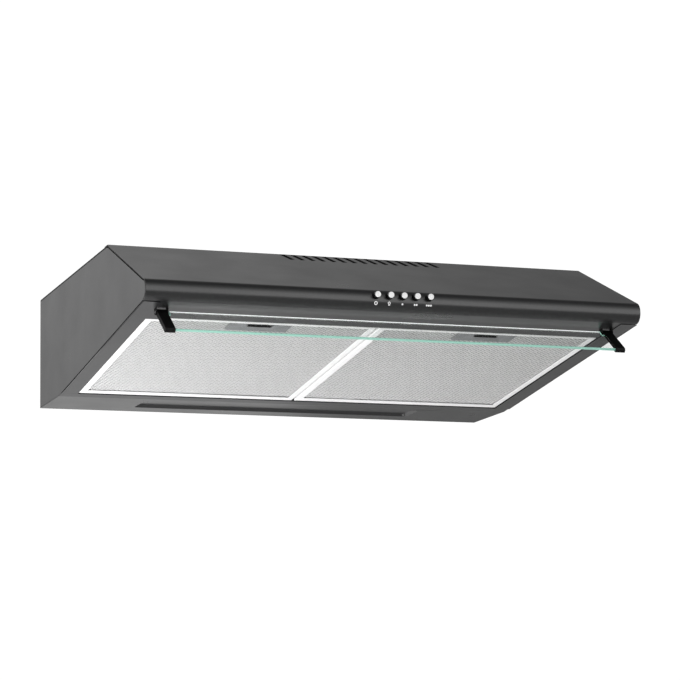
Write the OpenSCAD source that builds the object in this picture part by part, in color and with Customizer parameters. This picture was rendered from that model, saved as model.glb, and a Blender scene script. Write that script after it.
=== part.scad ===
// Under cabinet range hood, slim 60 cm type with a folding glass visor.
// X runs along the hood, -Y points to the front and +Z points up.
// The origin is the centre of the four cabinet screw holes on the top face.

/* [Body] */
// Overall width of the hood
body_w = 598; // [596:1:640]
// Height from the flat underside to the top sheet
body_h = 140; // [139:1:142]
// Depth of the flat top, from the wall to the crest of the sloped front
top_depth = 345; // [340:1:350]
// Overall depth of the body, from the wall to the nose
body_depth = 511; // [508:1:514]
// Depth of the flat strip of the underside, next to the wall
rear_flat = 103; // [100:1:106]
// Slope of the front panel
front_angle = 24; // [23.5:0.1:24.5]
// Slope of the underside with the filters
under_angle = 6.6; // [6.4:0.1:6.8]
// Radius of the two bends of the nose
nose_r = 12; // [11:0.5:13]
// Thickness of the sheet steel
sheet_t = 0.8; // [0.7:0.1:0.9]
// Width of the return flange on each side panel
flange_w = 20; // [18:1:20]

/* [Cabinet and wall fixing] */
// Spacing of the cabinet screws along the hood
screw_dx = 480; // [440:5:500]
// Spacing of the cabinet screws from front to back
screw_dy = 220; // [200:5:230]
// Distance from the wall to the centre of the cabinet screws
screw_mid = 180; // [170:1:185]
// Radius of the cabinet screw holes
screw_hole_r = 3.25; // [2.75:0.25:3.5]
// Spacing of the wall keyholes and of the lower wall screws
wall_dx = 400; // [380:5:440]
// Height of the wall keyholes above the underside
wall_z = 112; // [108:1:116]
// Height of the lower wall screws above the underside
lock_z = 34; // [30:1:40]
// Radius of the lower wall screw holes
lock_r = 3; // [2.5:0.5:3.5]

/* [Duct] */
// Outer radius of the duct collar
duct_r = 60; // [60:0.5:60.5]
// Height of the duct collar above the top sheet
collar_h = 30; // [26:1:34]
// Distance from the wall to the axis of the duct
duct_d = 100; // [98:1:102]

/* [Filters] */
// Width of one grease filter
filter_w = 276.4; // [274:0.2:276.4]
// Distance along the slope from the bend of the underside to the filters
filter_s0 = 18; // [17.5:0.5:18.5]
// Distance along the slope from the bend to the strike flange of the lip
lip_s = 333; // [331:1:335]
// Thickness of a filter
filter_t = 9; // [8.5:0.5:9]
// Visible width of the filter frame at its sides
rim_w = 8; // [7:0.5:10]
// Visible width of the filter frame at its front
front_rim = 4.5; // [3:0.5:6]

/* [Visor] */
// Angle of the open visor below the horizontal
visor_angle = 36.8; // [35:0.1:38]
// Thickness of the glass
glass_t = 3.2; // [3:0.1:3.4]
// Length of an arm from its hinge pin
arm_l = 45.5; // [44:0.5:46]
// Width of an arm
arm_w = 11.6; // [11:0.1:11.6]

/* [Controls] */
// Distance between two buttons
button_pitch = 16; // [15.5:0.5:16.5]
// Radius of a button cap
cap_r = 3.8; // [3.4:0.1:3.9]
// Height of the button row above the underside
button_z = 62.8; // [62.6:0.1:63.6]
// Number of vent slots in the sloped front
vent_count = 15; // [11:1:15]
// Distance between two vent slots
vent_pitch = 13.1; // [12.9:0.1:13.3]
// Slant of the vent slots from straight down the sloped front
vent_slant = 11.5; // [8:0.5:13]

/* [Hidden] */

$fn = 48;
half_w = body_w / 2;
crest_z = body_h + 1;
inset = 2.2;
gap = 0.2;
top_z = body_h - 1;
front_drop = (body_depth - top_depth) * tan(front_angle);
crest = [-top_depth, crest_z];
upper_bend = [
    nose_r - body_depth,
    crest_z - front_drop + nose_r * tan(front_angle) - nose_r / cos(front_angle)
];
lower_bend = [
    nose_r - body_depth,
    (body_depth - rear_flat - nose_r) * tan(under_angle) + nose_r / cos(under_angle)
];
bend_steps = 12;
nose_s = (-lower_bend[0] - rear_flat + nose_r * sin(under_angle)) / cos(under_angle);

function unit(v) = v / norm(v);
function left_of(a, b) = let (d = unit(b - a)) [-d[1], d[0]];
function arc(c, r, from, to) =
    [for (k = [0 : bend_steps]) let (a = from + (to - from) * k / bend_steps) c + r * [cos(a), sin(a)]];
// A point at distance s along the sloped underside and height h above it
function slope_point(s, h = 0) = [
    -rear_flat - s * cos(under_angle) + h * sin(under_angle),
    s * sin(under_angle) + h * cos(under_angle)
];
// A point at distance s down the sloped front from its crest and depth h under it
function front_point(s, h = 0) = [
    -top_depth - s * cos(front_angle) + h * sin(front_angle),
    crest_z - s * sin(front_angle) - h * cos(front_angle)
];
// The second face of a bent sheet, on the left of its first face
function inner_point(p, i, t) =
    i == 0 ? p[0] + t * left_of(p[0], p[1])
    : i == len(p) - 1 ? p[i] + t * left_of(p[i - 1], p[i])
    : let (m = left_of(p[i - 1], p[i]), n = left_of(p[i], p[i + 1])) p[i] + t * (m + n) / (1 + m * n);
function sheet(p, t = sheet_t) = concat(p, [for (i = [len(p) - 1 : -1 : 0]) inner_point(p, i, t)]);

// Moves a piece from the wall corner of the underside to the part's own frame
module in_frame() {
    translate([0, screw_mid, -body_h]) children();
}
// Extrudes an outline, drawn with Y across and Z up, from x0 to x1
module across(x0, x1) {
    translate([x0, 0, 0]) rotate([90, 0, 90]) linear_extrude(x1 - x0) children();
}
// Frame of the sloped underside: -Y runs up the slope, Z is the height above it
module on_slope() {
    translate([0, -rear_flat, 0]) rotate([-under_angle, 0, 0]) children();
}
// Frame of the sloped front: -Y runs down the slope, Z points out of the panel
module on_front() {
    translate([0, -top_depth, crest_z]) rotate([front_angle, 0, 0]) children();
}
// A box given by its lowest and highest corners
module block(low, high) {
    translate(low) cube(high - low);
}
// A rod along X, Y or Z from a point
module rod_x(p, r, l) {
    translate(p) rotate([0, 90, 0]) cylinder(r = r, h = l);
}
module rod_y(p, r, l) {
    translate(p) rotate([-90, 0, 0]) cylinder(r = r, h = l);
}
module rod_z(p, r, l) {
    translate(p) cylinder(r = r, h = l);
}
// Coil spring along +Z: wire rings follow a helix
module coil_spring(coil_r, wire_r, length, turns) {
    per_turn = 14;
    sides = 6;
    rings = turns * per_turn;
    points = [
        for (i = [0 : rings], j = [0 : sides - 1])
            let (a = 360 * i / per_turn, b = 360 * j / sides, r = coil_r + wire_r * cos(b))
                [r * cos(a), r * sin(a), wire_r * (1 + sin(b)) + (length - 2 * wire_r) * i / rings]
    ];
    walls = [
        for (i = [0 : rings - 1], j = [0 : sides - 1])
            let (n = (j + 1) % sides, a = i * sides)
                [a + j, a + sides + j, a + sides + n, a + n]
    ];
    first = [[for (j = [0 : sides - 1]) j]];
    last = [[for (j = [sides - 1 : -1 : 0]) rings * sides + j]];
    polyhedron(points, concat(walls, first, last));
}
// Pan head screw pointing down from a face, with its head above the face
module screw(p, r = 2, l = 8) {
    rod_z(p - [0, 0, l], r, l);
    rod_z(p, 2 * r, 1.2 * r);
}

// ---- Sheet steel body ----

side_crest = [
    -top_depth - (crest_z - top_z - inset / cos(front_angle)) / tan(front_angle),
    top_z
];
seam_s = 14.5;
lip_half = half_w - flange_w - gap;
flange_x = half_w - flange_w;
vent_w = 5.8;
vent_l = 28;
vent_x = 7.2;
button_hole_r = 4.4;
// Places the children at the middle of each vent slot, in the frame of the sloped front
module at_vents() {
    for (i = [0 : vent_count - 1]) {
        translate([vent_x + (i - (vent_count - 1) / 2) * vent_pitch, -vent_l / 2 - 1, 0])
            rotate([0, 0, vent_slant]) children();
    }
}
module at_cabinet_screws() {
    for (x = [-screw_dx / 2, screw_dx / 2], y = [-screw_dy / 2, screw_dy / 2]) {
        translate([x, y - screw_mid, 0]) children();
    }
}
case_screw_x = half_w - 10;
module at_case_screws() {
    for (x = [-case_screw_x, case_screw_x], d = [40, 130, 220, 310]) {
        translate([x, -d, 0]) children();
    }
}
gland_x = -188;
gland_d = 55;
blower_ear_x = 68;
blower_ear_d = [50, 150];
module at_blower_ears() {
    for (x = [-blower_ear_x, blower_ear_x], d = blower_ear_d) {
        translate([x, -d, 0]) children();
    }
}
collar_screw_r = 67;
module at_collar_screws() {
    for (a = [45 : 90 : 315]) {
        translate([collar_screw_r * cos(a), collar_screw_r * sin(a) - duct_d, 0]) children();
    }
}

// Top and back, one sheet bent at the rear edge and down at the front
module top_shell() {
    color([0.24, 0.24, 0.25]) in_frame() difference() {
        across(gap - half_w, half_w - gap)
            polygon(sheet([[0, 0], [0, body_h], [1 - top_depth, body_h], [1 - top_depth, body_h - 11]]));
        for (x = [-half_w, half_w - 1.2]) {
            block([x, -top_depth, body_h - 14], [x + 1.2, 2.5 - top_depth, body_h - 0.9]);
        }
        at_cabinet_screws() rod_z([0, 0, body_h - 5], screw_hole_r, 10);
        rod_z([0, -duct_d, body_h - 5], duct_r - 1, 10);
        rod_z([gland_x, -gland_d, body_h - 5], 8.2, 10);
        at_case_screws() rod_z([0, 0, body_h - 5], 1.7, 10);
        at_blower_ears() rod_z([0, 0, body_h - 5], 1.7, 10);
        at_collar_screws() rod_z([0, 0, body_h - 5], 1.7, 10);
        for (x = [-wall_dx / 2, wall_dx / 2]) {
            rod_y([x, -3, wall_z], 4.5, 6);
            rod_y([x, -3, wall_z + 9], 2.25, 6);
            block([x - 2.25, -3, wall_z], [x + 2.25, 3, wall_z + 9]);
            rod_y([x, -3, lock_z], lock_r, 6);
        }
    }
}

// Side panel with its top, front and bottom flanges; the left one is drawn
module side_panel() {
    outline = concat(
        [[-1, 1], [-1, top_z], side_crest],
        arc(upper_bend, nose_r - inset, 90 + front_angle, 180),
        arc(lower_bend, nose_r - inset, 180, 270 - under_angle),
        [slope_point(nose_s - 0.4, inset), slope_point(nose_s - 0.4), slope_point(seam_s + 0.7)],
        [slope_point(seam_s + 0.7, 1), [-rear_flat, 1]]
    );
    flange_start = sheet_t / 2 - half_w;
    sunk = 0.05;
    front_start = (crest_z - top_z) / sin(front_angle) + 1;
    front_end = (body_depth - top_depth) / cos(front_angle) - nose_r;
    difference() {
        union() {
            across(-half_w, sheet_t - half_w) polygon(outline);
            across(flange_start, 2 - flange_x)
                polygon(sheet([[-2, top_z - sunk], [side_crest[0] + 1, top_z - sunk]]));
            across(flange_start, -flange_x)
                polygon(sheet([front_point(front_start, inset + sunk), front_point(front_end, inset + sunk)]));
            across(flange_start, -flange_x)
                polygon(sheet([slope_point(nose_s - 1, sunk), slope_point(seam_s + 1.2, sunk)]));
        }
        at_case_screws() rod_z([0, 0, body_h - 8], 1.7, 10);
    }
}
module left_side() {
    color([0.26, 0.26, 0.27]) in_frame() side_panel();
}
module right_side() {
    color([0.26, 0.26, 0.27]) in_frame() mirror([1, 0, 0]) side_panel();
}

hinge_s = 374;
hinge_h = -4.4;
arm_x1 = 277;
arm_x0 = arm_x1 - arm_w;
ear_t = 1.2;
ear_gap = 0.3;
ear_x = [arm_x0 - ear_gap - ear_t, arm_x1 + ear_gap];
// Sloped front, nose and lip, one sheet that wraps over the side panels
module front_panel() {
    wrap = concat(
        [crest + [14, 0], crest],
        arc(upper_bend, nose_r, 90 + front_angle, 180),
        arc(lower_bend, nose_r, 180, 270 - under_angle)
    );
    strike_x = 13;
    color([0.24, 0.24, 0.25]) in_frame() difference() {
        union() {
            across(-half_w, -lip_half) polygon(sheet(wrap));
            across(lip_half, half_w) polygon(sheet(wrap));
            across(-lip_half, lip_half) polygon(sheet(concat(wrap, [slope_point(lip_s), slope_point(lip_s, 12)])));
        }
        on_front() at_vents() block([-vent_w / 2, -vent_l / 2, -3], [vent_w / 2, vent_l / 2, 3]);
        for (i = [-2 : 2]) {
            rod_y([button_x(i), -body_depth - 1, button_z], button_hole_r, 9);
        }
        on_slope() for (side = [-1, 1]) {
            translate([side * filter_x, 0, 0]) block([-strike_x, -lip_s - 2, 1], [strike_x, 2 - lip_s, 4.2]);
            for (x = ear_x) {
                translate([side * (x + ear_t / 2), -hinge_s, 0])
                    block([-ear_t / 2 - ear_gap, -5, -1], [ear_t / 2 + ear_gap, 5, 2]);
            }
        }
    }
}

// Flat strip of the underside with its stamped recess and the filter rail
module rear_panel() {
    recess_x = 185;
    recess_d = [33, 84];
    recess_h = 3.5;
    strip = [slope_point(seam_s, 10), slope_point(seam_s), [-rear_flat, 0], [-1, 0], [-1, 15]];
    color([0.24, 0.24, 0.25]) in_frame() difference() {
        union() {
            across(gap - half_w, half_w - gap) polygon(sheet([for (i = [1 : 3]) strip[i]]));
            across(2 - flange_x, flange_x - 2) polygon(sheet(strip));
            block(
                [-recess_x - sheet_t, -recess_d[1] - sheet_t, 0],
                [recess_x + sheet_t, sheet_t - recess_d[0], recess_h + sheet_t]
            );
        }
        block([-recess_x, -recess_d[1], -1], [recess_x, -recess_d[0], recess_h]);
        on_slope() for (side = [-1, 1], x = [-tab_x, tab_x]) {
            translate([side * filter_x + x, -seam_s, 0]) block([-7, -2, 0.9], [7, 4, 6.2]);
        }
    }
}

// ---- Grease filters ----

filter_x = filter_w / 2 + 1.6;
filter_l = lip_s - 1.5 - filter_s0;
skin = 0.8;
tab_x = 90;
tab_w = 12;
pocket_x = 19;
pocket_s = 301;
plate_x = 37;
plate_s = [300, 327];
slot_x = 15.5;
slot_s = [316.5, 325];
// Frame of one filter: X from its middle, -Y from its rear edge up the slope
module at_filter(side) {
    on_slope() translate([side * filter_x, -filter_s0, 0]) children();
}
module filter_frame(side) {
    w = filter_w / 2;
    color([0.86, 0.87, 0.88]) in_frame() at_filter(side) {
        difference() {
            block([-w, -filter_l, 0], [w, 0, filter_t]);
            block([skin - w, skin - filter_l, skin], [w - skin, -skin, filter_t - skin]);
            block([rim_w - w, front_rim - filter_l, -1], [w - rim_w, -rim_w - 3.5, filter_t + 1]);
            block([-slot_x, -filter_l - 1, 1], [slot_x, 2 - filter_l, 4.4]);
        }
        for (x = [-tab_x, tab_x]) {
            block([x - tab_w / 2, -skin, 2.5], [x + tab_w / 2, 7, 3.5]);
            rod_x([x - tab_w / 2, filter_s0 - seam_s + sheet_t / 2, 3], 1.2, tab_w);
        }
    }
}
// One layer of expanded aluminium between heights z0 and z1
module mesh_layer(side, z0, z1, has_pocket) {
    w = filter_w / 2 - skin - 0.1;
    in_frame() at_filter(side) difference() {
        block([-w, skin + 0.1 - filter_l, z0], [w, -skin - 0.1, z1]);
        if (has_pocket) {
            block([-pocket_x, -filter_l, z0 - 1], [pocket_x, filter_s0 - pocket_s, z1 + 1]);
        }
    }
}
// Plate behind the latch, with its thumb slot and the stop of its spring
module handle_plate(side) {
    color([0.62, 0.63, 0.64]) in_frame() at_filter(side) translate([0, filter_s0, 0]) {
        difference() {
            block([-plate_x, -plate_s[1], 0.05], [plate_x, -plate_s[0], skin + 0.05]);
            block([-slot_x, -slot_s[1], -1], [slot_x, -slot_s[0], 2]);
        }
        block([-4, -pocket_s - 2.4, skin + 0.05], [4, -pocket_s - 1.2, 5.6]);
    }
}
// Sliding catch: body, tongue in the front wall of the frame and thumb piece
module latch(side) {
    color([0.10, 0.10, 0.10]) in_frame() at_filter(side) translate([0, filter_s0, 0]) {
        block([-12, 5 - lip_s, 1.2], [12, -313, 3.6]);
        block([-11, 2 - lip_s, 1.6], [11, 5 - lip_s, 3.2]);
        block([-14, -319.6, -0.9], [14, -317, 1.2]);
    }
}
module latch_spring(side) {
    color([0.75, 0.76, 0.78]) in_frame() at_filter(side)
        translate([0, filter_s0 - pocket_s - 2.5, 3.3]) rotate([90, 0, 0]) coil_spring(1.8, 0.3, 9.4, 6);
}
module filter_frame_left() {
    filter_frame(-1);
}
module filter_frame_right() {
    filter_frame(1);
}
module face_mesh_left() {
    color([0.75, 0.76, 0.77]) mesh_layer(-1, 0.9, 1.4, true);
}
module face_mesh_right() {
    color([0.75, 0.76, 0.77]) mesh_layer(1, 0.9, 1.4, true);
}
module core_mesh_left() {
    color([0.66, 0.67, 0.68]) mesh_layer(-1, 4, 4.5, true);
}
module core_mesh_right() {
    color([0.66, 0.67, 0.68]) mesh_layer(1, 4, 4.5, true);
}
module back_mesh_left() {
    color([0.70, 0.71, 0.72]) mesh_layer(-1, 7.6, 8.1, false);
}
module back_mesh_right() {
    color([0.70, 0.71, 0.72]) mesh_layer(1, 7.6, 8.1, false);
}
module handle_plate_left() {
    handle_plate(-1);
}
module handle_plate_right() {
    handle_plate(1);
}
module latch_left() {
    latch(-1);
}
module latch_right() {
    latch(1);
}
module latch_spring_left() {
    latch_spring(-1);
}
module latch_spring_right() {
    latch_spring(1);
}

// ---- Glass visor ----

pin_r = 1.5;
glass_a = [-0.6, 43];
tab_a = 8;
eye_r = 3.4;
arm_h = 2.8;
ear_r = 3.6;
// Frame of the open visor: X along the hinge pins, -Y along the arms
module at_visor() {
    p = slope_point(hinge_s, hinge_h);
    translate([0, p[0], p[1]]) rotate([visor_angle, 0, 0]) children();
}
module visor_glass() {
    low = -glass_t / 2;
    notch_x = ear_x[0] - 1.2;
    color([0.55, 0.80, 0.72, 0.4]) in_frame() at_visor() union() {
        block([-notch_x, -glass_a[1], low], [notch_x, -glass_a[0], low + glass_t]);
        block([-arm_x0 - 5, -glass_a[1], low], [arm_x0 + 5, -tab_a, low + glass_t]);
    }
}
// Arm that clamps one end of the glass; the right one is drawn
module visor_arm() {
    cut = 1.8;
    slack = 0.05;
    low = -glass_t / 2 - slack;
    at_visor() difference() {
        union() {
            rod_x([arm_x0, 0, 0], eye_r, arm_w);
            across(arm_x0, arm_x1)
                polygon([[0, -arm_h], [-arm_l, -arm_h], [-arm_l, arm_h - cut], [cut - arm_l, arm_h], [0, arm_h]]);
        }
        rod_x([arm_x0 - 1, 0, 0], pin_r + 0.06, arm_w + 2);
        block(
            [arm_x0 - 1, -glass_a[1] - 0.1, low],
            [arm_x0 + 5.1, 0.1 - tab_a, low + glass_t + 2 * slack]
        );
    }
}
module visor_arm_left() {
    color([0.04, 0.04, 0.04]) in_frame() mirror([1, 0, 0]) visor_arm();
}
module visor_arm_right() {
    color([0.04, 0.04, 0.04]) in_frame() visor_arm();
}
// Bracket above the lip with two ears that reach down through it
module hinge_bracket() {
    on_slope() difference() {
        union() {
            block([ear_x[0] - 2, 8 - hinge_s - 20, sheet_t + 0.1], [ear_x[1] + ear_t, 8 - hinge_s, 2.4]);
            for (x = ear_x) {
                rod_x([x, -hinge_s, hinge_h], ear_r, ear_t);
                block([x, -hinge_s - ear_r, hinge_h], [x + ear_t, ear_r - hinge_s, 2.4]);
            }
        }
        rod_x([ear_x[0] - 3, -hinge_s, hinge_h], pin_r + 0.04, 20);
    }
}
module hinge_bracket_left() {
    color([0.05, 0.05, 0.05]) in_frame() mirror([1, 0, 0]) hinge_bracket();
}
module hinge_bracket_right() {
    color([0.05, 0.05, 0.05]) in_frame() hinge_bracket();
}
module hinge_pins() {
    pin_l = ear_x[1] + ear_t - ear_x[0];
    color([0.7, 0.7, 0.72]) in_frame() on_slope() {
        rod_x([ear_x[0], -hinge_s, hinge_h], pin_r, pin_l);
        rod_x([-ear_x[0] - pin_l, -hinge_s, hinge_h], pin_r, pin_l);
    }
}

// ---- Push buttons and switch ----

cap_d = 519;
collar_d = [502.3, 503.5];
stem_r = 2;
stem_end = 480;
switch_d = [475, 498];
switch_x = 42;
spring_seat_d = 493;
row_x = 1.2;
// Place along the hood of button i, counted from the middle of the row
function button_x(i) = row_x + i * button_pitch;
module button(i) {
    x = button_x(i);
    color([0.90, 0.90, 0.91]) in_frame() union() {
        rod_y([x, -cap_d, button_z], cap_r, cap_d - collar_d[1]);
        rod_y([x, -collar_d[1], button_z], 5.25, collar_d[1] - collar_d[0]);
        rod_y([x, -collar_d[1], button_z], stem_r, collar_d[1] - stem_end);
    }
}
module button_spring(i) {
    length = collar_d[0] - spring_seat_d - 0.1;
    color([0.75, 0.76, 0.78]) in_frame()
        translate([button_x(i), -spring_seat_d - 0.05, button_z]) rotate([90, 0, 0])
            coil_spring(3, 0.3, length, 5);
}
module button_off() {
    button(-2);
}
module button_light() {
    button(-1);
}
module button_low() {
    button(0);
}
module button_medium() {
    button(1);
}
module button_high() {
    button(2);
}
module spring_off() {
    button_spring(-2);
}
module spring_light() {
    button_spring(-1);
}
module spring_low() {
    button_spring(0);
}
module spring_medium() {
    button_spring(1);
}
module spring_high() {
    button_spring(2);
}
module switch_housing() {
    color([0.13, 0.13, 0.13]) in_frame() difference() {
        block([-switch_x, -switch_d[1], 56.2], [switch_x, -switch_d[0], 70.3]);
        for (i = [-2 : 2]) {
            rod_y([button_x(i), -switch_d[1] - 1, button_z], 4.1, switch_d[1] + 1 - spring_seat_d);
            rod_y([button_x(i), -switch_d[1] - 1, button_z], stem_r + 0.06, 40);
        }
    }
}
module switch_base() {
    color([0.72, 0.68, 0.60]) in_frame() {
        block([-switch_x, 0.2 - switch_d[0], 56.2], [switch_x, 13 - switch_d[0], 70.3]);
        for (i = [-2.5 : 1 : 2.5]) {
            translate([i * 13, 13 - switch_d[0], 60]) block([-3.1, 0, 0], [3.1, 7, 0.8]);
        }
    }
}
module switch_bracket() {
    steel = 1.2;
    color([0.78, 0.78, 0.77]) in_frame() across(-38, 38)
        polygon(sheet([front_point(96, 1), front_point(112, 1), [-452, 56], [-switch_d[1], 56]], steel));
}

// ---- Blower ----

casing_half = 62;
casing_wall = 2;
casing_top = body_h - 1.2;
casing_centre = [-75, 67];
casing_r = 58;
throat_d = [42, 158];
axle = [-71, 63];
inlet_r = 44;
wheel_r = 46;
wheel_half = 54;
shaft_r = 4;
motor_x = [-84, -26];
motor_r = 30;
// Centres children on the axle of the blower, at x
module on_axle(x) {
    translate([x, axle[0], axle[1]]) rotate([0, 90, 0]) children();
}
module tube(r1, r2, h) {
    difference() {
        cylinder(r = r2, h = h);
        translate([0, 0, -1]) cylinder(r = r1, h = h + 2);
    }
}
// Solid of the casing or of its hollow, from x0 to x1 and smaller by wall
module casing_body(x0, x1, wall, top) {
    rod_x([x0, casing_centre[0], casing_centre[1]], casing_r - wall, x1 - x0);
    block([x0, wall - throat_d[1], 98 + wall], [x1, -throat_d[0] - wall, top]);
}
// Half of the blower casing with its inlet; the left one is drawn
module blower_casing() {
    difference() {
        union() {
            casing_body(-casing_half, 0, 0, casing_top);
            for (d = blower_ear_d) {
                block([-casing_half - 12, -d - 6, casing_top - 3], [-casing_half, 6 - d, casing_top]);
            }
        }
        casing_body(casing_wall - casing_half, 1, casing_wall, body_h);
        on_axle(-casing_half - 1) cylinder(r = inlet_r, h = 10);
        block([-50, -throat_d[1] - 1, 106], [1, 5 - throat_d[1], 132]);
        for (d = blower_ear_d) {
            rod_z([-blower_ear_x, -d, casing_top - 5], 1.7, 10);
        }
    }
    on_axle(casing_wall - casing_half) tube(inlet_r, inlet_r + casing_wall, 3);
}
module blower_casing_left() {
    color([0.08, 0.08, 0.08]) in_frame() blower_casing();
}
module blower_casing_right() {
    color([0.08, 0.08, 0.08]) in_frame() mirror([1, 0, 0]) blower_casing();
}
// Double inlet wheel: two rings, a middle disc with its hub, and the blades
module impeller() {
    blades = 28;
    color([0.82, 0.83, 0.84]) in_frame() on_axle(0) union() {
        for (x = [-wheel_half, wheel_half - 2]) {
            translate([0, 0, x]) tube(wheel_r - 8, wheel_r, 2);
        }
        translate([0, 0, -1]) tube(shaft_r, wheel_r, 2);
        translate([0, 0, -10]) tube(shaft_r, 9, 20);
        for (i = [0 : blades - 1]) {
            rotate([0, 0, i * 360 / blades]) translate([wheel_r - 4, 0, -wheel_half]) rotate([0, 0, 35])
                block([-3.6, -0.5, 0], [3.6, 0.5, 2 * wheel_half]);
        }
    }
}
module motor_shaft() {
    color([0.72, 0.72, 0.74]) in_frame() on_axle(-96) cylinder(r = shaft_r, h = 124);
}
// Motor in its can, with a bearing boss at each end
module motor() {
    color([0.55, 0.56, 0.58]) in_frame() difference() {
        union() {
            on_axle(motor_x[0]) cylinder(r = motor_r, h = motor_x[1] - motor_x[0]);
            on_axle(motor_x[0] - 6) cylinder(r = 12, h = motor_x[1] - motor_x[0] + 12);
        }
        on_axle(motor_x[0] - 8) cylinder(r = shaft_r + 0.06, h = 80);
    }
}
foot_r = 50;
foot_angles = [30, 150, 270];
bracket_x = -casing_half - 6;
// Spider that holds the motor in the left inlet, on three grommets
module motor_bracket() {
    color([0.74, 0.75, 0.76]) in_frame() on_axle(bracket_x - 2) difference() {
        union() {
            tube(motor_r + 0.1, motor_r + 3, 8);
            for (a = foot_angles) {
                rotate([0, 0, a]) block([motor_r + 2, -5, 0], [foot_r, 5, 2]);
                rotate([0, 0, a]) translate([foot_r, 0, 0]) cylinder(r = 6, h = 2);
            }
        }
        for (a = foot_angles) {
            rotate([0, 0, a]) translate([foot_r, 0, -1]) cylinder(r = 2.2, h = 12);
        }
    }
}
module motor_grommets() {
    color([0.12, 0.12, 0.12]) in_frame() on_axle(bracket_x + 0.1)
        for (a = foot_angles) {
            rotate([0, 0, a]) translate([foot_r, 0, 0]) tube(2.2, 5.5, 5.7);
        }
}
// Finger guard of the open inlet on the right
module inlet_guard() {
    color([0.10, 0.10, 0.10]) in_frame() on_axle(casing_half + 0.2) union() {
        for (r = [12 : 8 : 36]) {
            tube(r - 1, r + 1, 2);
        }
        tube(inlet_r - 1, inlet_r + 3, 2);
        for (a = [0 : 45 : 315]) {
            rotate([0, 0, a]) block([12, -1, 0], [inlet_r, 1, 2]);
        }
    }
}

// ---- Duct collar and its non-return flaps ----

flap_axis_d = 3;
flap_z = body_h + 10;
flap_t = 1.2;
ledge_z = [body_h + 8, flap_z - 0.4];
bore_r = duct_r - 2.5;
module outlet_collar() {
    base = body_h + 0.1;
    color([0.09, 0.09, 0.09]) in_frame() difference() {
        translate([0, -duct_d, base]) union() {
            tube(bore_r, duct_r, collar_h - 0.1);
            tube(bore_r, duct_r + 13, 2.2);
            difference() {
                translate([0, 0, ledge_z[0] - base]) tube(bore_r - 3, bore_r + 1, ledge_z[1] - ledge_z[0]);
                block([-duct_r, -6, 0], [duct_r, 6, collar_h]);
            }
        }
        for (y = [-flap_axis_d, flap_axis_d]) {
            rod_x([-duct_r + 1, y - duct_d, flap_z + flap_t / 2], pin_r + 0.06, 2 * duct_r - 2);
        }
        at_collar_screws() rod_z([0, 0, body_h - 2], 1.7, 8);
    }
}
// Half disc with a pin moulded at each end of its axis; the rear one is drawn
module flap() {
    centre_z = flap_z + flap_t / 2;
    intersection() {
        translate([0, 0, flap_z]) cylinder(r = bore_r - 0.5, h = flap_t);
        block([-duct_r, 0.4, flap_z - 1], [duct_r, duct_r, flap_z + 3]);
    }
    rod_x([1.4 - duct_r, flap_axis_d, centre_z], pin_r, 2 * duct_r - 2.8);
}
module flap_rear() {
    color([0.80, 0.80, 0.80]) in_frame() translate([0, -duct_d, 0]) flap();
}
module flap_front() {
    color([0.80, 0.80, 0.80]) in_frame() translate([0, -duct_d, 0]) mirror([0, 1, 0]) flap();
}

// ---- Recirculation: channel to the vents and their shutter ----

channel_x = [-112, 128];
channel_wall = 1.6;
channel_end_s = 52;
shutter_z = [-2.4, -1.2];
guide_x = [-90, 12, 108];
guide_s = 33;
shutter_travel = vent_pitch / 2;
// Open topped duct from the blower to the vents, closed by the body above it
module air_channel() {
    skin_h = 1.4;
    floor_line = [[-throat_d[1] - 0.2, 100], [-330, 104], front_point(channel_end_s, skin_h)];
    side = concat(floor_line, [front_point(3, skin_h), [-343, casing_top], [-throat_d[1] - 0.2, casing_top]]);
    color([0.16, 0.16, 0.17]) in_frame() difference() {
        union() {
            across(channel_x[0], channel_x[1]) polygon(sheet(floor_line, channel_wall));
            across(channel_x[0], channel_x[0] + channel_wall) polygon(side);
            across(channel_x[1] - channel_wall, channel_x[1]) polygon(side);
        }
        on_front() block([-2, -60, -4], [28, -45, 0]);
        block([channel_x[0] - 1, 0.4 - top_depth, body_h - 12], [channel_x[1] + 1, 2.4 - top_depth, body_h]);
    }
}
// Slotted plate that slides along the hood and opens or closes the vents
module vent_shutter() {
    slide_r = pin_r + 0.2;
    color([0.45, 0.46, 0.47]) in_frame() on_front() difference() {
        union() {
            block([-104, -40, shutter_z[0]], [118, -1.5, shutter_z[1]]);
            block([6, -66, shutter_z[0]], [18, -39, shutter_z[1]]);
            block([6, -66, shutter_z[0] - 12], [18, -64.6, shutter_z[1]]);
        }
        at_vents() block([-vent_w / 2 - 0.2, -vent_l / 2 - 0.5, -3], [vent_w / 2 + 0.2, vent_l / 2 - 2.5, 0]);
        for (x = guide_x) {
            translate([x, -guide_s, -3]) cylinder(r = slide_r, h = 3);
            translate([x - shutter_travel, -guide_s, -3]) cylinder(r = slide_r, h = 3);
            block([x - shutter_travel, -guide_s - slide_r, -3], [x, slide_r - guide_s, 0]);
        }
    }
}
// Shoulder rivets under the front panel that carry the shutter
module shutter_guides() {
    color([0.7, 0.7, 0.72]) in_frame() on_front() for (x = guide_x) {
        translate([x, -guide_s, shutter_z[0] - 1.4]) cylinder(r = 3.2, h = 1.2);
        translate([x, -guide_s, shutter_z[0] - 1.4]) cylinder(r = pin_r, h = 1.4 - shutter_z[0] - sheet_t - 0.05);
    }
}

// ---- Wiring parts and lamp ----

module capacitor() {
    color([0.85, 0.85, 0.83]) in_frame() {
        rod_z([-126, -60, 84], 15, 50);
        rod_z([-126, -60, 133], 3, casing_top - 133);
    }
}
box_low = [-218, -95, 104];
box_high = [-158, -30, 138.6];
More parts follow.
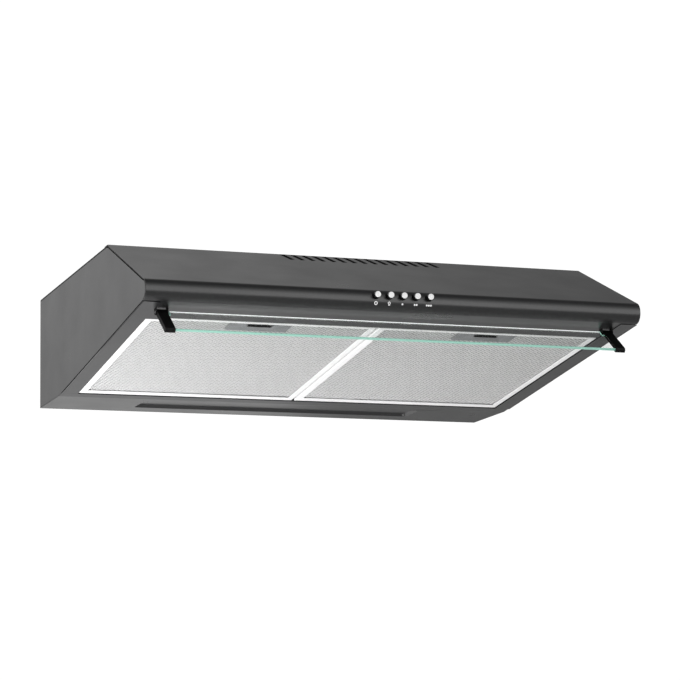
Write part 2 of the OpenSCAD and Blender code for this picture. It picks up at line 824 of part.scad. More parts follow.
// Box for the mains terminals, open below and closed by its cover
module terminal_box() {
    wall = [2, 2, 2];
    color([0.20, 0.20, 0.21]) in_frame() difference() {
        block(box_low, box_high);
        block(box_low + [2, 2, -1], box_high - wall);
        rod_z([gland_x, -gland_d, 130], 8.2, 10);
    }
}
module terminal_cover() {
    color([0.23, 0.23, 0.24]) in_frame() {
        block(box_low - [0, 0, 2.4], [box_high[0], box_high[1], box_low[2] - 0.2]);
        block(box_low + [2.3, 2.3, -0.3], [box_low[0] + 4, box_high[1] - 2.3, box_low[2] + 5]);
        block([box_high[0] - 4, box_low[1] + 2.3, box_low[2] - 0.3], box_high - [2.3, 2.3, 29.6]);
    }
}
// Bush for the mains cable in the top sheet, with its clamping dome
module cable_gland() {
    color([0.06, 0.06, 0.06]) in_frame() translate([gland_x, -gland_d, 0]) difference() {
        union() {
            rod_z([0, 0, 124], 8, 17);
            rod_z([0, 0, body_h + 0.1], 11, 2.6);
            rod_z([0, 0, body_h + 2], 9.5, 6);
        }
        rod_z([0, 0, 120], 4.2, 40);
    }
}
lamp_axis = [-330, 68];
module lamp_holder() {
    color([0.88, 0.87, 0.83]) in_frame() difference() {
        union() {
            rod_x([150, lamp_axis[0], lamp_axis[1]], 13, 36);
            block([170, lamp_axis[0] - 10, lamp_axis[1]], [186, lamp_axis[0] + 10, casing_top]);
        }
        rod_x([149, lamp_axis[0], lamp_axis[1]], 7.3, 26);
    }
}
// Small screw lamp: cap, neck and bulb turned from one outline
module lamp_bulb() {
    bulb = arc([0, 64], 17.5, -55, 90);
    round_end = [for (i = [0 : bend_steps - 1]) bulb[i]];
    outline = concat([[0, 0], [7, 0], [7, 22], [10, 24], [10, 49]], round_end, [[0, 81.5]]);
    color([0.95, 0.94, 0.88]) in_frame()
        translate([172, lamp_axis[0], lamp_axis[1]]) rotate([0, -90, 0]) rotate_extrude() polygon(outline);
}

// ---- Fasteners ----

module case_screws() {
    color([0.30, 0.30, 0.31]) in_frame() at_case_screws() screw([0, 0, body_h + 0.05], 1.5, 6);
}
module inner_screws() {
    color([0.70, 0.70, 0.72]) in_frame() {
        at_blower_ears() screw([0, 0, body_h + 0.05], 1.5, 6);
        at_collar_screws() screw([0, 0, body_h + 2.35], 1.5, 8);
        on_axle(bracket_x - 2.1) for (a = foot_angles) {
            rotate([0, 0, a]) translate([foot_r, 0, -2]) union() {
                cylinder(r = 3.6, h = 2);
                cylinder(r = 2, h = 9.8);
            }
        }
    }
}

top_shell();
left_side();
right_side();
front_panel();
rear_panel();
filter_frame_left();
filter_frame_right();
face_mesh_left();
face_mesh_right();
core_mesh_left();
core_mesh_right();
back_mesh_left();
back_mesh_right();
handle_plate_left();
handle_plate_right();
latch_left();
latch_right();
latch_spring_left();
latch_spring_right();
visor_glass();
visor_arm_left();
visor_arm_right();
hinge_bracket_left();
hinge_bracket_right();
hinge_pins();
button_off();
button_light();
button_low();
button_medium();
button_high();
spring_off();
spring_light();
spring_low();
spring_medium();
spring_high();
switch_housing();
switch_base();
switch_bracket();
blower_casing_left();
blower_casing_right();
impeller();
motor_shaft();
motor();
motor_bracket();
motor_grommets();
inlet_guard();
outlet_collar();
flap_front();
flap_rear();
air_channel();
vent_shutter();
shutter_guides();
capacitor();
terminal_box();
terminal_cover();
cable_gland();
lamp_holder();
lamp_bulb();
case_screws();
inner_screws();
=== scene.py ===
"""Looks of the under cabinet range hood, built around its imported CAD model.

Shapes are worked out in the hood's own millimetres: X along the hood, -Y away from the wall and
Z up from the flat underside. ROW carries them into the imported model's frame, in metres.
"""

import math

import bpy
import numpy as np
from mathutils import Matrix, Vector
from mathutils.geometry import delaunay_2d_cdt

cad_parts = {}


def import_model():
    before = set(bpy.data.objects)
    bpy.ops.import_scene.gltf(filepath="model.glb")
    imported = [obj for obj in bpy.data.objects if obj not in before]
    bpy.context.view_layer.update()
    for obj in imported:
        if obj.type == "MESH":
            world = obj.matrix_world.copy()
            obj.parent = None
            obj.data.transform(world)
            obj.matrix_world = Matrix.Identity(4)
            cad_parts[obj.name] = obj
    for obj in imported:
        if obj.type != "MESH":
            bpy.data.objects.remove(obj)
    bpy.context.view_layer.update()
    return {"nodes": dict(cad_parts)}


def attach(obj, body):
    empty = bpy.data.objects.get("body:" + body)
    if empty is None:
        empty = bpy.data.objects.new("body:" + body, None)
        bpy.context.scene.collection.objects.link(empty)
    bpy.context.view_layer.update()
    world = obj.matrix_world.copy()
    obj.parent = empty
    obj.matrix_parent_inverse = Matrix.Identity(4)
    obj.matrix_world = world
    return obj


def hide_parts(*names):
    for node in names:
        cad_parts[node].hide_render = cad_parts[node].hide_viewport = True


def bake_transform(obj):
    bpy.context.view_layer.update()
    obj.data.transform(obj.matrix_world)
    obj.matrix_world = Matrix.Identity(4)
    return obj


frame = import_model()

# ---- Sizes in millimetres, as in the part's source ----

# Body: half width, height, depth of the top, of the whole and of the flat rear strip, height of the crest
HALF_W, BODY_H, TOP_DEPTH, BODY_DEPTH, REAR_FLAT, CREST_Z = 299.0, 140.0, 345.0, 511.0, 103.0, 141.0
FRONT_ANGLE, UNDER_ANGLE = math.radians(24), math.radians(6.6)
# Sheet thickness, rounding of cut edges, bends, and the room that the parts leave each other
SHEET, EDGE, BEND_R, FOLD_R, NOSE_R, INSET, GAP = 0.8, 0.15, 1.5, 1.0, 12.0, 2.2, 0.2
# Flange of the sides, rear seam and its flange, front lip and its flange, front sheet's strip on top
FLANGE_W, SEAM_S, SEAM_UP, LIP_S, LIP_UP, CREST_S = 20.0, 14.5, 10.0, 333.0, 12.0, 14.0
# Filters: width, start up the slope, thickness, skin; rims at the sides, front and rear
FILTER_W, FILTER_S0, FILTER_T, SKIN = 276.4, 18.0, 9.0, 0.8
RIM_W, FRONT_RIM, REAR_RIM = 8.0, 4.5, 11.5
FILTER_X = FILTER_W / 2 + 1.6
FILTER_L = LIP_S - 1.5 - FILTER_S0
# Visor's hinge, up the slope and below it, and how steeply the glass hangs
HINGE_S, HINGE_H, VISOR_ANGLE = 374.0, -4.4, math.radians(36.8)
# Buttons: spacing, middle one, height, cap radius, distance of the caps' faces from the wall
BUTTON_PITCH, BUTTON_X, BUTTON_Z, CAP_R, CAP_D = 16.0, 1.2, 62.8, 3.8, 519.0
SCREW_MID = 180.0

ROW = Matrix.Scale(0.001, 4) @ Matrix.Translation((0, SCREW_MID, -BODY_H))
SLOPE = Matrix.Translation((0, -REAR_FLAT, 0)) @ Matrix.Rotation(-UNDER_ANGLE, 4, "X")
VISOR = SLOPE @ Matrix.Translation((0, -HINGE_S, HINGE_H)) @ Matrix.Rotation(VISOR_ANGLE + UNDER_ANGLE, 4, "X")
MIRROR = Matrix.Scale(-1, 4, (1, 0, 0))
OUTWARD = Matrix.Rotation(math.pi / 2, 4, "X")


def filter_place(side):
    """Frame of one filter: X from its middle, -Y up the slope from its rear edge."""
    return SLOPE @ Matrix.Translation((side * FILTER_X, -FILTER_S0, 0))


def slope_point(s, h=0.0):
    """Y and Z of a point at distance s up the sloped underside and h above it."""
    p = SLOPE @ Vector((0, -s, h))
    return (p.y, p.z)


def basis(x, y, z, place):
    """Matrix that carries local X, Y and Z to these directions and the origin to this place."""
    return Matrix((*zip(x, y, z, place), (0, 0, 0, 1)))


def left(v):
    return Vector((-v.y, v.x))


# ---- Outlines ----


def arc_points(centre, radius, start, end, step=5):
    """Points round a centre between two angles, in degrees, no further apart than a step."""
    count = math.ceil(abs(end - start) / step)
    angles = [math.radians(start + (end - start) * k / count) for k in range(count + 1)]
    return [(centre[0] + radius * math.cos(a), centre[1] + radius * math.sin(a)) for a in angles]


def circle(x, s, radius, steps=32):
    return arc_points((x, s), radius, 0, 360, 360 / steps)[:-1]


def rectangle(x0, s0, x1, s1, radius=0.0, steps=4):
    """Corners of a rectangle, rounded if a radius is given."""
    if radius <= 0:
        return [(x0, s0), (x1, s0), (x1, s1), (x0, s1)]
    corners = ((x1 - radius, s1 - radius), (x0 + radius, s1 - radius),
               (x0 + radius, s0 + radius), (x1 - radius, s0 + radius))
    return [p for k, corner in enumerate(corners)
            for p in arc_points(corner, radius, 90 * k, 90 * k + 90, 90 / steps)]


def mirrored(right):
    """The right half of an outline, joined to its mirror image."""
    return right + [(-x, s) for x, s in right[::-1]]


def inside(points, loop):
    """Which of the points lie inside a closed loop."""
    x, y = points[:, 0], points[:, 1]
    result = np.zeros(len(points), bool)
    for (x0, y0), (x1, y1) in zip(loop, loop[1:] + loop[:1]):
        if y0 == y1:
            continue
        crosses = (y0 > y) != (y1 > y)
        result ^= crosses & (x < (x1 - x0) * (y - y0) / (y1 - y0) + x0)
    return result


def fill(outline, holes, loops=(), lines=()):
    """Points and triangles inside an outline and outside its holes, all turned the same way.

    Loops and lines are kept as edges of triangles.
    """
    verts, edges = [], []
    for loop in [outline, *holes, *loops, *lines]:
        n = len(loop)
        edges += [(len(verts) + i, len(verts) + (i + 1) % n) for i in range(n if n > 2 else 1)]
        verts += [Vector(p) for p in loop]
    found = delaunay_2d_cdt(verts, edges, [], 0, 1e-6)
    flat, triangles = np.array([list(v) for v in found[0]]), np.array(found[2])
    middles = flat[triangles].mean(1)
    keep = inside(middles, outline)
    for hole in holes:
        keep &= ~inside(middles, hole)
    triangles = triangles[keep]
    a, b, c = (flat[triangles[:, k]] for k in range(3))
    area = (b[:, 0] - a[:, 0]) * (c[:, 1] - a[:, 1]) - (b[:, 1] - a[:, 1]) * (c[:, 0] - a[:, 0])
    triangles[area < 0] = triangles[area < 0][:, ::-1]
    triangles = triangles[np.abs(area) > 1e-9]
    used, triangles = np.unique(triangles, return_inverse=True)
    return flat[used], triangles.reshape(-1, 3)


def border(triangles):
    """Edges that only one triangle has, in that triangle's direction."""
    edges = dict.fromkeys((t[i], t[(i + 1) % 3]) for t in triangles.tolist() for i in range(3))
    return [(i, j) for i, j in edges if (j, i) not in edges]


# ---- Mesh helpers ----


class Shape:
    """Gathers vertices, faces and normals of one piece."""

    def __init__(self):
        self.points, self.normals, self.faces, self.count = [], [], [], 0
        self.slots = None

    def add(self, points, faces, normals=None, matrix=None):
        points = np.asarray(points, float)
        normals = np.zeros_like(points) if normals is None else np.asarray(normals, float)
        if matrix is not None:
            a = np.array(matrix)
            points = points @ a[:3, :3].T + a[:3, 3]
            normals = normals @ np.linalg.inv(a[:3, :3])
            if np.linalg.det(a[:3, :3]) < 0:
                faces = [f[::-1] for f in faces]
        self.points.append(points)
        self.normals.append(normals)
        self.faces.extend(tuple(i + self.count for i in f) for f in faces)
        self.count += len(points)

    def mesh(self, name, sharp=None):
        """The mesh in the row frame, with its own normals or with smooth shading below an angle."""
        a = np.array(ROW)
        points = np.concatenate(self.points) @ a[:3, :3].T + a[:3, 3]
        mesh = bpy.data.meshes.new(name)
        mesh.from_pydata(points.tolist(), [], self.faces)
        if self.slots:
            mesh.polygons.foreach_set("material_index", self.slots)
        mesh.update()
        mesh.shade_smooth()
        if sharp is None:
            normals = np.concatenate(self.normals)
            normals /= np.maximum(np.linalg.norm(normals, axis=1, keepdims=True), 1e-9)
            mesh.normals_split_custom_set_from_vertices(normals.tolist())
        else:
            mesh.set_sharp_from_angle(angle=math.radians(sharp))
        return mesh


def link(shape, name, body, looks, node=None, sharp=None):
    """One finished piece, with the names of its materials and of the CAD node that it stands for.

    It rides on its body, or, given the bodies and ends that a spring spans, stays fixed in the world where it
    was built.
    """
    mesh = shape.mesh(name, sharp)
    for look in looks:
        mesh.materials.append(MATERIALS[look])
    piece = bpy.data.objects.new(name, mesh)
    bpy.context.scene.collection.objects.link(piece)
    if isinstance(body, str):
        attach(piece, body)
    else:
        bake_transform(piece)
    if node:
        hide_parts(node)
    return piece


def bevel(piece, width, angle=40):
    """Rounds a piece's edges by width millimetres."""
    m = piece.modifiers.new("rounding", "BEVEL")
    m.width = width * 0.001
    m.segments = 2
    m.limit_method = "ANGLE"
    m.angle_limit = math.radians(angle)
    m.harden_normals = True
    m.miter_outer = "MITER_ARC"


class Path:
    """Cross-section of a bent sheet. Its thickness lies on the left of the direction of travel."""

    def __init__(self, corners, radii, step=5.0):
        corners = [Vector(c) for c in corners]
        if not isinstance(radii, list):
            radii = [radii] * (len(corners) - 2)
        points, tangents = [corners[0]], [(corners[1] - corners[0]).normalized()]
        for before, corner, after, radius in zip(corners, corners[1:], corners[2:], radii):
            a, b = (corner - before).normalized(), (after - corner).normalized()
            turn = math.atan2(a.x * b.y - a.y * b.x, a.dot(b))
            cut = radius * math.tan(abs(turn) / 2)
            count = max(2, math.ceil(math.degrees(abs(turn)) / step))
            side = math.copysign(1, turn)
            centre = corner - a * cut + left(a) * side * radius
            for k in range(count + 1):
                t = Matrix.Rotation(turn * k / count, 2) @ a
                points.append(centre - left(t) * side * radius)
                tangents.append(t)
        self.points = points + [corners[-1]]
        tangents.append((corners[-1] - corners[-2]).normalized())
        self.stations = [0.0]
        for p, q in zip(self.points, self.points[1:]):
            self.stations.append(self.stations[-1] + (q - p).length)
        self.length = self.stations[-1]
        self.samples = [(p.x, p.y, t.x, t.y) for p, t in zip(self.points, tangents)]

    def at(self, s):
        """Points, directions of travel and thickness directions at the distances s along the path."""
        s = np.asarray(s, float)
        x, y, *t = (np.interp(s, self.stations, column) for column in zip(*self.samples))
        p, t = np.stack([x, y], -1), np.stack(t, -1)
        t /= np.linalg.norm(t, axis=-1, keepdims=True)
        over = np.minimum(s, 0) + np.maximum(s - self.length, 0)
        return p + t * over[..., None], t, np.stack([-t[..., 1], t[..., 0]], -1)

    def find(self, test):
        """Distance along the path of the first sample that passes a test of its point, and the point."""
        return next((s, p) for s, p in zip(self.stations, self.points) if test(p))


CORNER_REACH = 1.6


def sheet(shape, path, outline, holes=(), loops=(), thickness=SHEET, edge=EDGE, matrix=None, dent=None):
    """A bent sheet with holes, given unrolled: X along the bends, then distance along the path.

    A dent pushes it in by a depth that depends on both. Loops are edges that the dent needs.
    """
    low, high = min(p[0] for p in outline) - 1, max(p[0] for p in outline) + 1
    s_low, s_high = min(p[1] for p in outline), max(p[1] for p in outline)
    lines = [[(low, s), (high, s)] for s in path.stations if s_low + 1e-4 < s < s_high - 1e-4]
    flat, triangles = fill(outline, holes, loops, lines)

    def place(spots, depth):
        p, _, n = path.at(spots[:, 1])
        drop = depth + (0 if dent is None else dent(*spots.T))
        return np.column_stack([spots[:, 0], p + n * np.reshape(drop, (-1, 1))])

    def facing(spots):
        _, t, n = path.at(spots[:, 1])
        if dent is None:
            return np.column_stack([np.zeros(len(spots)), -n])
        x, s = spots.T
        step = 0.05
        dx = (dent(x + step, s) - dent(x - step, s)) / (2 * step)
        ds = (dent(x, s + step) - dent(x, s - step)) / (2 * step)
        return np.column_stack([dx, -n + t * ds[:, None]])

    rim = border(triangles)
    push, hits = np.zeros_like(flat), np.zeros(len(flat))
    for i, j in rim:
        d = flat[j] - flat[i]
        for k in (i, j):
            push[k] += np.array([d[1], -d[0]]) / np.linalg.norm(d)
            hits[k] += 1
    size = np.maximum(np.linalg.norm(push, axis=1, keepdims=True), 1e-9)
    ids = np.nonzero(hits)[0]
    where = {k: n for n, k in enumerate(ids.tolist())}
    out = (push / size)[ids]
    moved = flat[ids] + out * np.minimum(hits[:, None] / size, CORNER_REACH)[ids] * edge
    _, tangent, _ = path.at(flat[ids][:, 1])
    side = np.column_stack([out[:, 0], tangent * out[:, 1:2]])
    face = facing(flat)
    points = [place(flat, 0.0), place(flat, thickness), place(moved, edge), place(moved, thickness - edge)]
    total, ring = len(flat), len(ids)
    faces = [t[::-1] for t in triangles.tolist()] + (triangles + total).tolist()
    for i, j in rim:
        a1, b1 = 2 * total + where[i], 2 * total + where[j]
        a2, b2 = a1 + ring, b1 + ring
        faces += [(i, j, b1, a1), (a1, b1, b2, a2), (a2, b2, j + total, i + total)]
    shape.add(np.concatenate(points), faces, np.concatenate([face, -face, side, side]), matrix)


def prism(shape, outline, x0, x1, matrix=None):
    """A straight solid: an outline in Y and Z, carried from x0 to x1."""
    n = len(outline)
    pairs = list(zip(outline, outline[1:] + outline[:1]))
    if sum(p[0] * q[1] - q[0] * p[1] for p, q in pairs) < 0:
        outline = outline[::-1]
    points = [(x, *p) for x in (x0, x1) for p in outline]
    faces = [tuple(range(n))[::-1], tuple(range(n, 2 * n))]
    faces += [(i, (i + 1) % n, n + (i + 1) % n, n + i) for i in range(n)]
    shape.add(points, faces, None, matrix)


def box(shape, low, high, matrix=None):
    prism(shape, rectangle(*low[1:], *high[1:]), low[0], high[0], matrix)


def slab(shape, outline, hole, x0, x1, matrix):
    """A straight solid with one hole through it."""
    flat, triangles = fill(outline, [hole])
    total = len(flat)
    points = np.concatenate([np.column_stack([np.full(total, x), flat]) for x in (x0, x1)])
    faces = [t[::-1] for t in triangles.tolist()] + (triangles + total).tolist()
    faces += [(i, j, j + total, i + total) for i, j in border(triangles)]
    shape.add(points, faces, None, matrix)


def turned(shape, profile, matrix, steps):
    """A turned solid: profile is radius and height pairs from the axis back to the axis, about local Z."""
    points, faces, rows = [], [], []
    for r, z in profile:
        if r < 1e-6:
            rows.append([len(points)] * steps)
            points.append((0, 0, z))
        else:
            rows.append(list(range(len(points), len(points) + steps)))
            points += [(x, y, z) for x, y in circle(0, 0, r, steps)]
    for a, b in zip(rows, rows[1:]):
        for k in range(steps):
            m = (k + 1) % steps
            faces.append(tuple(dict.fromkeys((a[k], a[m], b[m], b[k]))))
    shape.add(points, faces, None, matrix)


# ---- Materials ----


def grey(value):
    return (value, value, value)


def put(node, values):
    """Sets a node's inputs to values, or links them to other nodes' outputs."""
    for key, value in values.items():
        if isinstance(value, bpy.types.NodeSocket):
            node.id_data.links.new(value, node.inputs[key])
        else:
            node.inputs[key].default_value = value


def add_node(tree, kind, values, **settings):
    node = tree.nodes.new(kind)
    for key, value in settings.items():
        setattr(node, key, value)
    put(node, values)
    return node


class Nodes:
    """A node material built around one Principled shader. Its noise is in object space, in metres."""

    def __init__(self, name, colour, roughness, metallic=0.0, gloss=0.5, ior=1.5):
        self.material = bpy.data.materials.new(name)
        self.material.use_nodes = True
        self.tree = self.material.node_tree
        self.shader = self.tree.nodes["Principled BSDF"]
        put(self.shader, {"Base Color": (*colour, 1), "Roughness": roughness, "Metallic": metallic,
                          "Specular IOR Level": gloss, "IOR": ior})
        self.coords = self.add("ShaderNodeTexCoord").outputs["Object"]
        self.material.diffuse_color = (*colour, 1)

    def add(self, kind, values=None):
        return add_node(self.tree, kind, values or {})

    def noise(self, scale, detail=3.0, stretch=(1, 1, 1)):
        """Noise with this many features a metre, stretched along the axes."""
        place = self.add("ShaderNodeMapping", {"Vector": self.coords, "Scale": stretch}).outputs["Vector"]
        noise = self.add("ShaderNodeTexNoise", {"Vector": place, "Scale": scale, "Detail": detail})
        return noise.outputs["Fac"]

    def tint(self, value, dark, light):
        """Colour that follows a noise from dark to light."""
        ramp = self.add("ShaderNodeValToRGB", {"Fac": value})
        for element, place, colour in zip(ramp.color_ramp.elements, (0.35, 0.65), (dark, light)):
            element.position, element.color = place, (*colour, 1)
        put(self.shader, {"Base Color": ramp.outputs["Color"]})

    def rough(self, value, low, high):
        """Roughness that follows a noise from low to high."""
        span = self.add("ShaderNodeMapRange", {"Value": value, "From Min": 0.3, "From Max": 0.7,
                                               "To Min": low, "To Max": high})
        put(self.shader, {"Roughness": span.outputs["Result"]})

    def bump(self, value, height, strength=0.5):
        """Height is in metres."""
        bump = self.add("ShaderNodeBump", {"Height": value, "Distance": height, "Strength": strength})
        put(self.shader, {"Normal": bump.outputs["Normal"]})


def black_paint():
    m = Nodes("black_powder_coat", (0.016, 0.016, 0.0165), 0.33)
    m.tint(m.noise(260), (0.0145, 0.0145, 0.015), (0.0185, 0.0185, 0.019))
    m.rough(m.noise(14), 0.27, 0.33)
    m.bump(m.noise(900, 2.0), 2e-5, 0.35)
    return m.material


def bare_metal(name, colour, roughness, scale, brushed=(1, 1, 1), spread=0.05, metallic=1.0):
    m = Nodes(name, colour, roughness, metallic)
    lines = m.noise(scale, stretch=brushed)
    m.tint(m.noise(scale / 3, stretch=brushed), [c * 0.93 for c in colour], colour)
    m.rough(lines, roughness - spread, roughness + spread)
    m.bump(lines, 8e-6)
    return m.material


def moulded(name, colour, roughness, grain=1400, height=1.2e-5, vary=0.12, gloss=0.5):
    m = Nodes(name, colour, roughness, gloss=gloss)
    m.tint(m.noise(90), [c * (1 - vary) for c in colour], [min(1.0, c * (1 + vary)) for c in colour])
    m.rough(m.noise(40), roughness - 0.04, roughness + 0.04)
    m.bump(m.noise(grain, 2.0), height)
    return m.material


GLASS_IOR = 1.52


def visor_glass(name, tint):
    """Clear glass that lets light through to what lies behind it, as thin glass does."""
    m = Nodes(name, tint, 0.0, ior=GLASS_IOR)
    put(m.shader, {"Transmission Weight": 1.0})
    m.rough(m.noise(120), 0.0, 0.02)
    shadow = m.add("ShaderNodeLightPath").outputs["Is Shadow Ray"]
    clear = m.add("ShaderNodeBsdfTransparent", {"Color": (*[math.sqrt(t) for t in tint], 1)})
    mix = m.add("ShaderNodeMixShader", {0: shadow, 1: m.shader.outputs[0], 2: clear.outputs[0]})
    put(m.tree.nodes["Material Output"], {"Surface": mix.outputs[0]})
    return m.material


def ground_edge(name, colour, painted_glow=0.0):
    """Ground edge of float glass. A glow, if given, is a painted highlight: the edge emits in its own colour
    in place of the light that it catches.
    """
    m = Nodes(name, colour, 0.25, ior=GLASS_IOR)
    put(m.shader, {"Emission Color": (*colour, 1), "Emission Strength": painted_glow, "Transmission Weight": 0.15})
    m.tint(m.noise(300, stretch=(1, 6, 6)), [c * 0.9 for c in colour], colour)
    m.bump(m.noise(2500, 2.0), 2e-5)
    return m.material


MATERIALS = {
    "paint": black_paint(),
    "frame": bare_metal("anodised_frame", grey(0.96), 0.45, 300, metallic=0.12),
    "mesh": bare_metal("expanded_aluminium", grey(0.92), 0.42, 900, metallic=0.25),
    # The core layer's aluminium is painted dark grey: painted shade for the inside of the filter, where the
    # layers shade each other
    "shaded_inner_mesh": bare_metal("inner_aluminium_painted_shade", grey(0.15), 0.5, 900, metallic=0.55),
    "plate": moulded("grey_plate", (0.20, 0.205, 0.21), 0.42),
    "black": moulded("black_plastic", grey(0.003), 0.48, gloss=0.12),
    "spring": bare_metal("spring_steel", (0.62, 0.62, 0.63), 0.28, 900, (1, 1, 6)),
    "glass": visor_glass("visor_glass_green", (0.98, 1.0, 0.99)),
    "glass_front": ground_edge("glass_front_edge", (0.34, 0.66, 0.55)),
    # The rear edge's glow is a painted highlight: emission that stands in for the bright line of light along
    # the ground edge
    "glass_rear": ground_edge("glass_rear_edge", (0.95, 0.98, 0.97), 0.4),
    "cap": moulded("white_cap", grey(0.86), 0.30, vary=0.02),
    "print": moulded("white_print", grey(0.85), 0.55, vary=0.02),
    "switch": moulded("switch_plastic", grey(0.03), 0.45),
    "base": moulded("switch_base_board", (0.30, 0.24, 0.15), 0.5),
    "zinc": bare_metal("zinc_plate", (0.60, 0.61, 0.62), 0.34, 160, spread=0.08),
    "blower": moulded("blower_plastic", grey(0.012), 0.42, 700),
    "wheel": moulded("wheel_plastic", (0.55, 0.56, 0.57), 0.4, 700),
    "motor": bare_metal("motor_can", (0.45, 0.46, 0.47), 0.35, 240, (1, 6, 6)),
    "rubber": moulded("rubber", grey(0.012), 0.7, 500, 3e-5),
    "capacitor": moulded("capacitor_case", (0.70, 0.70, 0.68), 0.38, 700),
    "lamp": moulded("lamp_holder_plastic", (0.72, 0.71, 0.66), 0.35, 700),
    "bulb": moulded("opal_bulb", (0.86, 0.86, 0.83), 0.15, 700),
    "screw": bare_metal("black_screw", (0.06, 0.06, 0.062), 0.38, 700),
    "flap": moulded("flap_plastic", (0.60, 0.60, 0.59), 0.4, 700),
    # The zinc shutter is painted near black: painted shade that darkens the vents seen from outside
    "shutter": moulded("shutter_plate_painted_shade", grey(0.008), 0.5, 700, gloss=0.3),
}

# ---- Sheet steel body ----

# Vent slots: shift from the middle, spacing, width, length, number and slant
VENT_X, VENT_PITCH, VENT_W, VENT_L, VENT_COUNT, VENT_SLANT = 7.2, 13.1, 5.8, 28.0, 15, math.radians(11.5)
BUTTON_HOLE_R, PRINT_Z = 4.4, 54.0
KEY_X = {name: BUTTON_X + k * BUTTON_PITCH
         for k, name in enumerate(("off", "light", "low", "medium", "high"), -2)}
# Visor arms, and the two ears beside each of them
ARM_X0, ARM_X1 = 265.4, 277.0
EAR_T, EAR_GAP, EAR_SLOT = 1.2, 0.3, 5.0
EAR_X = (ARM_X0 - EAR_GAP - EAR_T, ARM_X1 + EAR_GAP)
# Slots for the filters: half width, lowest and highest edge in the lip and in the seam
TONGUE_SLOT, TAB_SLOT, TAB_X = (13.0, 1.0, 4.2), (7.0, 0.9, 6.2), 90.0
# Top, by distance from the wall: cabinet screws, duct collar, cable gland, screws of the sides and the blower
CABINET_X, CABINET_D, CABINET_R = 240.0, (SCREW_MID - 110, SCREW_MID + 110), 3.4
COLLAR_D, COLLAR_R, COLLAR_SCREWS = 100.0, 59.15, 67 * math.cos(math.radians(45))
GLAND_X, GLAND_D, GLAND_R = -188.0, 55.0, 8.35
SCREW_R, SIDE_X, SIDE_D, BLOWER_X, BLOWER_D = 1.8, 289.0, (40, 130, 220, 310), 68.0, (50, 150)
# Keyholes in the back, each with a hole for a lock screw below it
HANG_X, HEAD_Z, HEAD_R, NECK_Z, NECK_R, LOCK_Z, LOCK_R = 200.0, 112.0, 4.65, 121.0, 2.4, 34.0, 3.15
# Recess in the rear strip: half width, distances from the wall, depth, width of its wall, corner radius
RECESS_X, RECESS_D0, RECESS_D1, RECESS_H, RECESS_WALL, RECESS_R = 185.0, 33.0, 84.0, 3.5, 3.2, 5.0


def painted(shape, name, node):
    link(shape, name, "hood", ["paint"], node)


def nose_corners():
    """Where the sloped front would meet the vertical nose, and where the nose would meet the lip."""
    drop = (BODY_DEPTH - TOP_DEPTH) * math.tan(FRONT_ANGLE)
    rise = (BODY_DEPTH - REAR_FLAT) * math.tan(UNDER_ANGLE)
    return (-BODY_DEPTH, CREST_Z - drop), (-BODY_DEPTH, rise)


def nose_centres():
    """Centres of the nose's two bends."""
    (y, high), (_, low) = nose_corners()
    drop, rise = (NOSE_R * (1 / math.cos(a) - math.tan(a)) for a in (FRONT_ANGLE, UNDER_ANGLE))
    return (y + NOSE_R, high - drop), (y + NOSE_R, low + rise)


def front_panel():
    """Front sheet, from the top over the nose to the lip.

    Returns its path, and a function that wraps an outline in X and Z round the nose at a height.
    """
    path = Path([(CREST_S - TOP_DEPTH, CREST_Z), (-TOP_DEPTH, CREST_Z), *nose_corners(), slope_point(LIP_S),
                 slope_point(LIP_S, LIP_UP)], [BEND_R, NOSE_R, NOSE_R, BEND_R])
    end = path.length
    # The wrap over the side panels ends where the nose meets the lip
    under = np.array((math.sin(UNDER_ANGLE), math.cos(UNDER_ANGLE)))
    wrap_end = next(s for s, n in zip(path.stations, path.at(path.stations)[2]) if n @ under > 0.99999)
    wide, narrow = HALF_W - EDGE, HALF_W - FLANGE_W - GAP
    outline = mirrored([(wide, 0), (wide, wrap_end), (narrow, wrap_end), (narrow, end)])
    half_w, half_l = VENT_W / 2 + EDGE, VENT_L / 2 + EDGE
    slot = rectangle(-half_w, -half_l, half_w, half_l, 1.0, 3)
    c, k = math.cos(VENT_SLANT), math.sin(VENT_SLANT)
    s = CREST_S + 1 + VENT_L / 2
    holes = []
    for i in range(VENT_COUNT):
        x = VENT_X + (i - (VENT_COUNT - 1) / 2) * VENT_PITCH
        holes.append([(x + u * c + v * k, s - u * k + v * c) for u, v in slot])
    # Button holes are drilled along Y, so their outline stretches down the curved nose
    fine = np.linspace(0, end, 4000)
    p, _, _ = path.at(fine)
    nose = (p[:, 0] < -BODY_DEPTH + NOSE_R) & (fine > CREST_S + 100) & (fine < wrap_end)
    heights, stations = p[nose, 1][::-1], fine[nose][::-1]

    def round_nose(loop, height):
        return [(x, float(np.interp(height + z, heights, stations))) for x, z in loop]

    holes += [round_nose(circle(x, 0, BUTTON_HOLE_R + EDGE, 40), BUTTON_Z) for x in KEY_X.values()]
    y, z = path.at([wrap_end])[0][0]
    hinge = wrap_end + math.hypot(y + REAR_FLAT, z) - HINGE_S
    half = EAR_T / 2 + EAR_GAP
    slot_x, slot_low, slot_high = TONGUE_SLOT
    for side in (-1, 1):
        for x in EAR_X:
            middle = side * (x + EAR_T / 2)
            holes.append(rectangle(middle - half, hinge - EAR_SLOT, middle + half, hinge + EAR_SLOT, 0.5, 2))
        x, lip = side * FILTER_X, end - LIP_UP
        holes.append(rectangle(x - slot_x, lip + slot_low, x + slot_x, lip + slot_high, 0.6, 2))
    shape = Shape()
    sheet(shape, path, outline, holes)
    painted(shape, "front_sheet", "front_panel")
    return path, round_nose


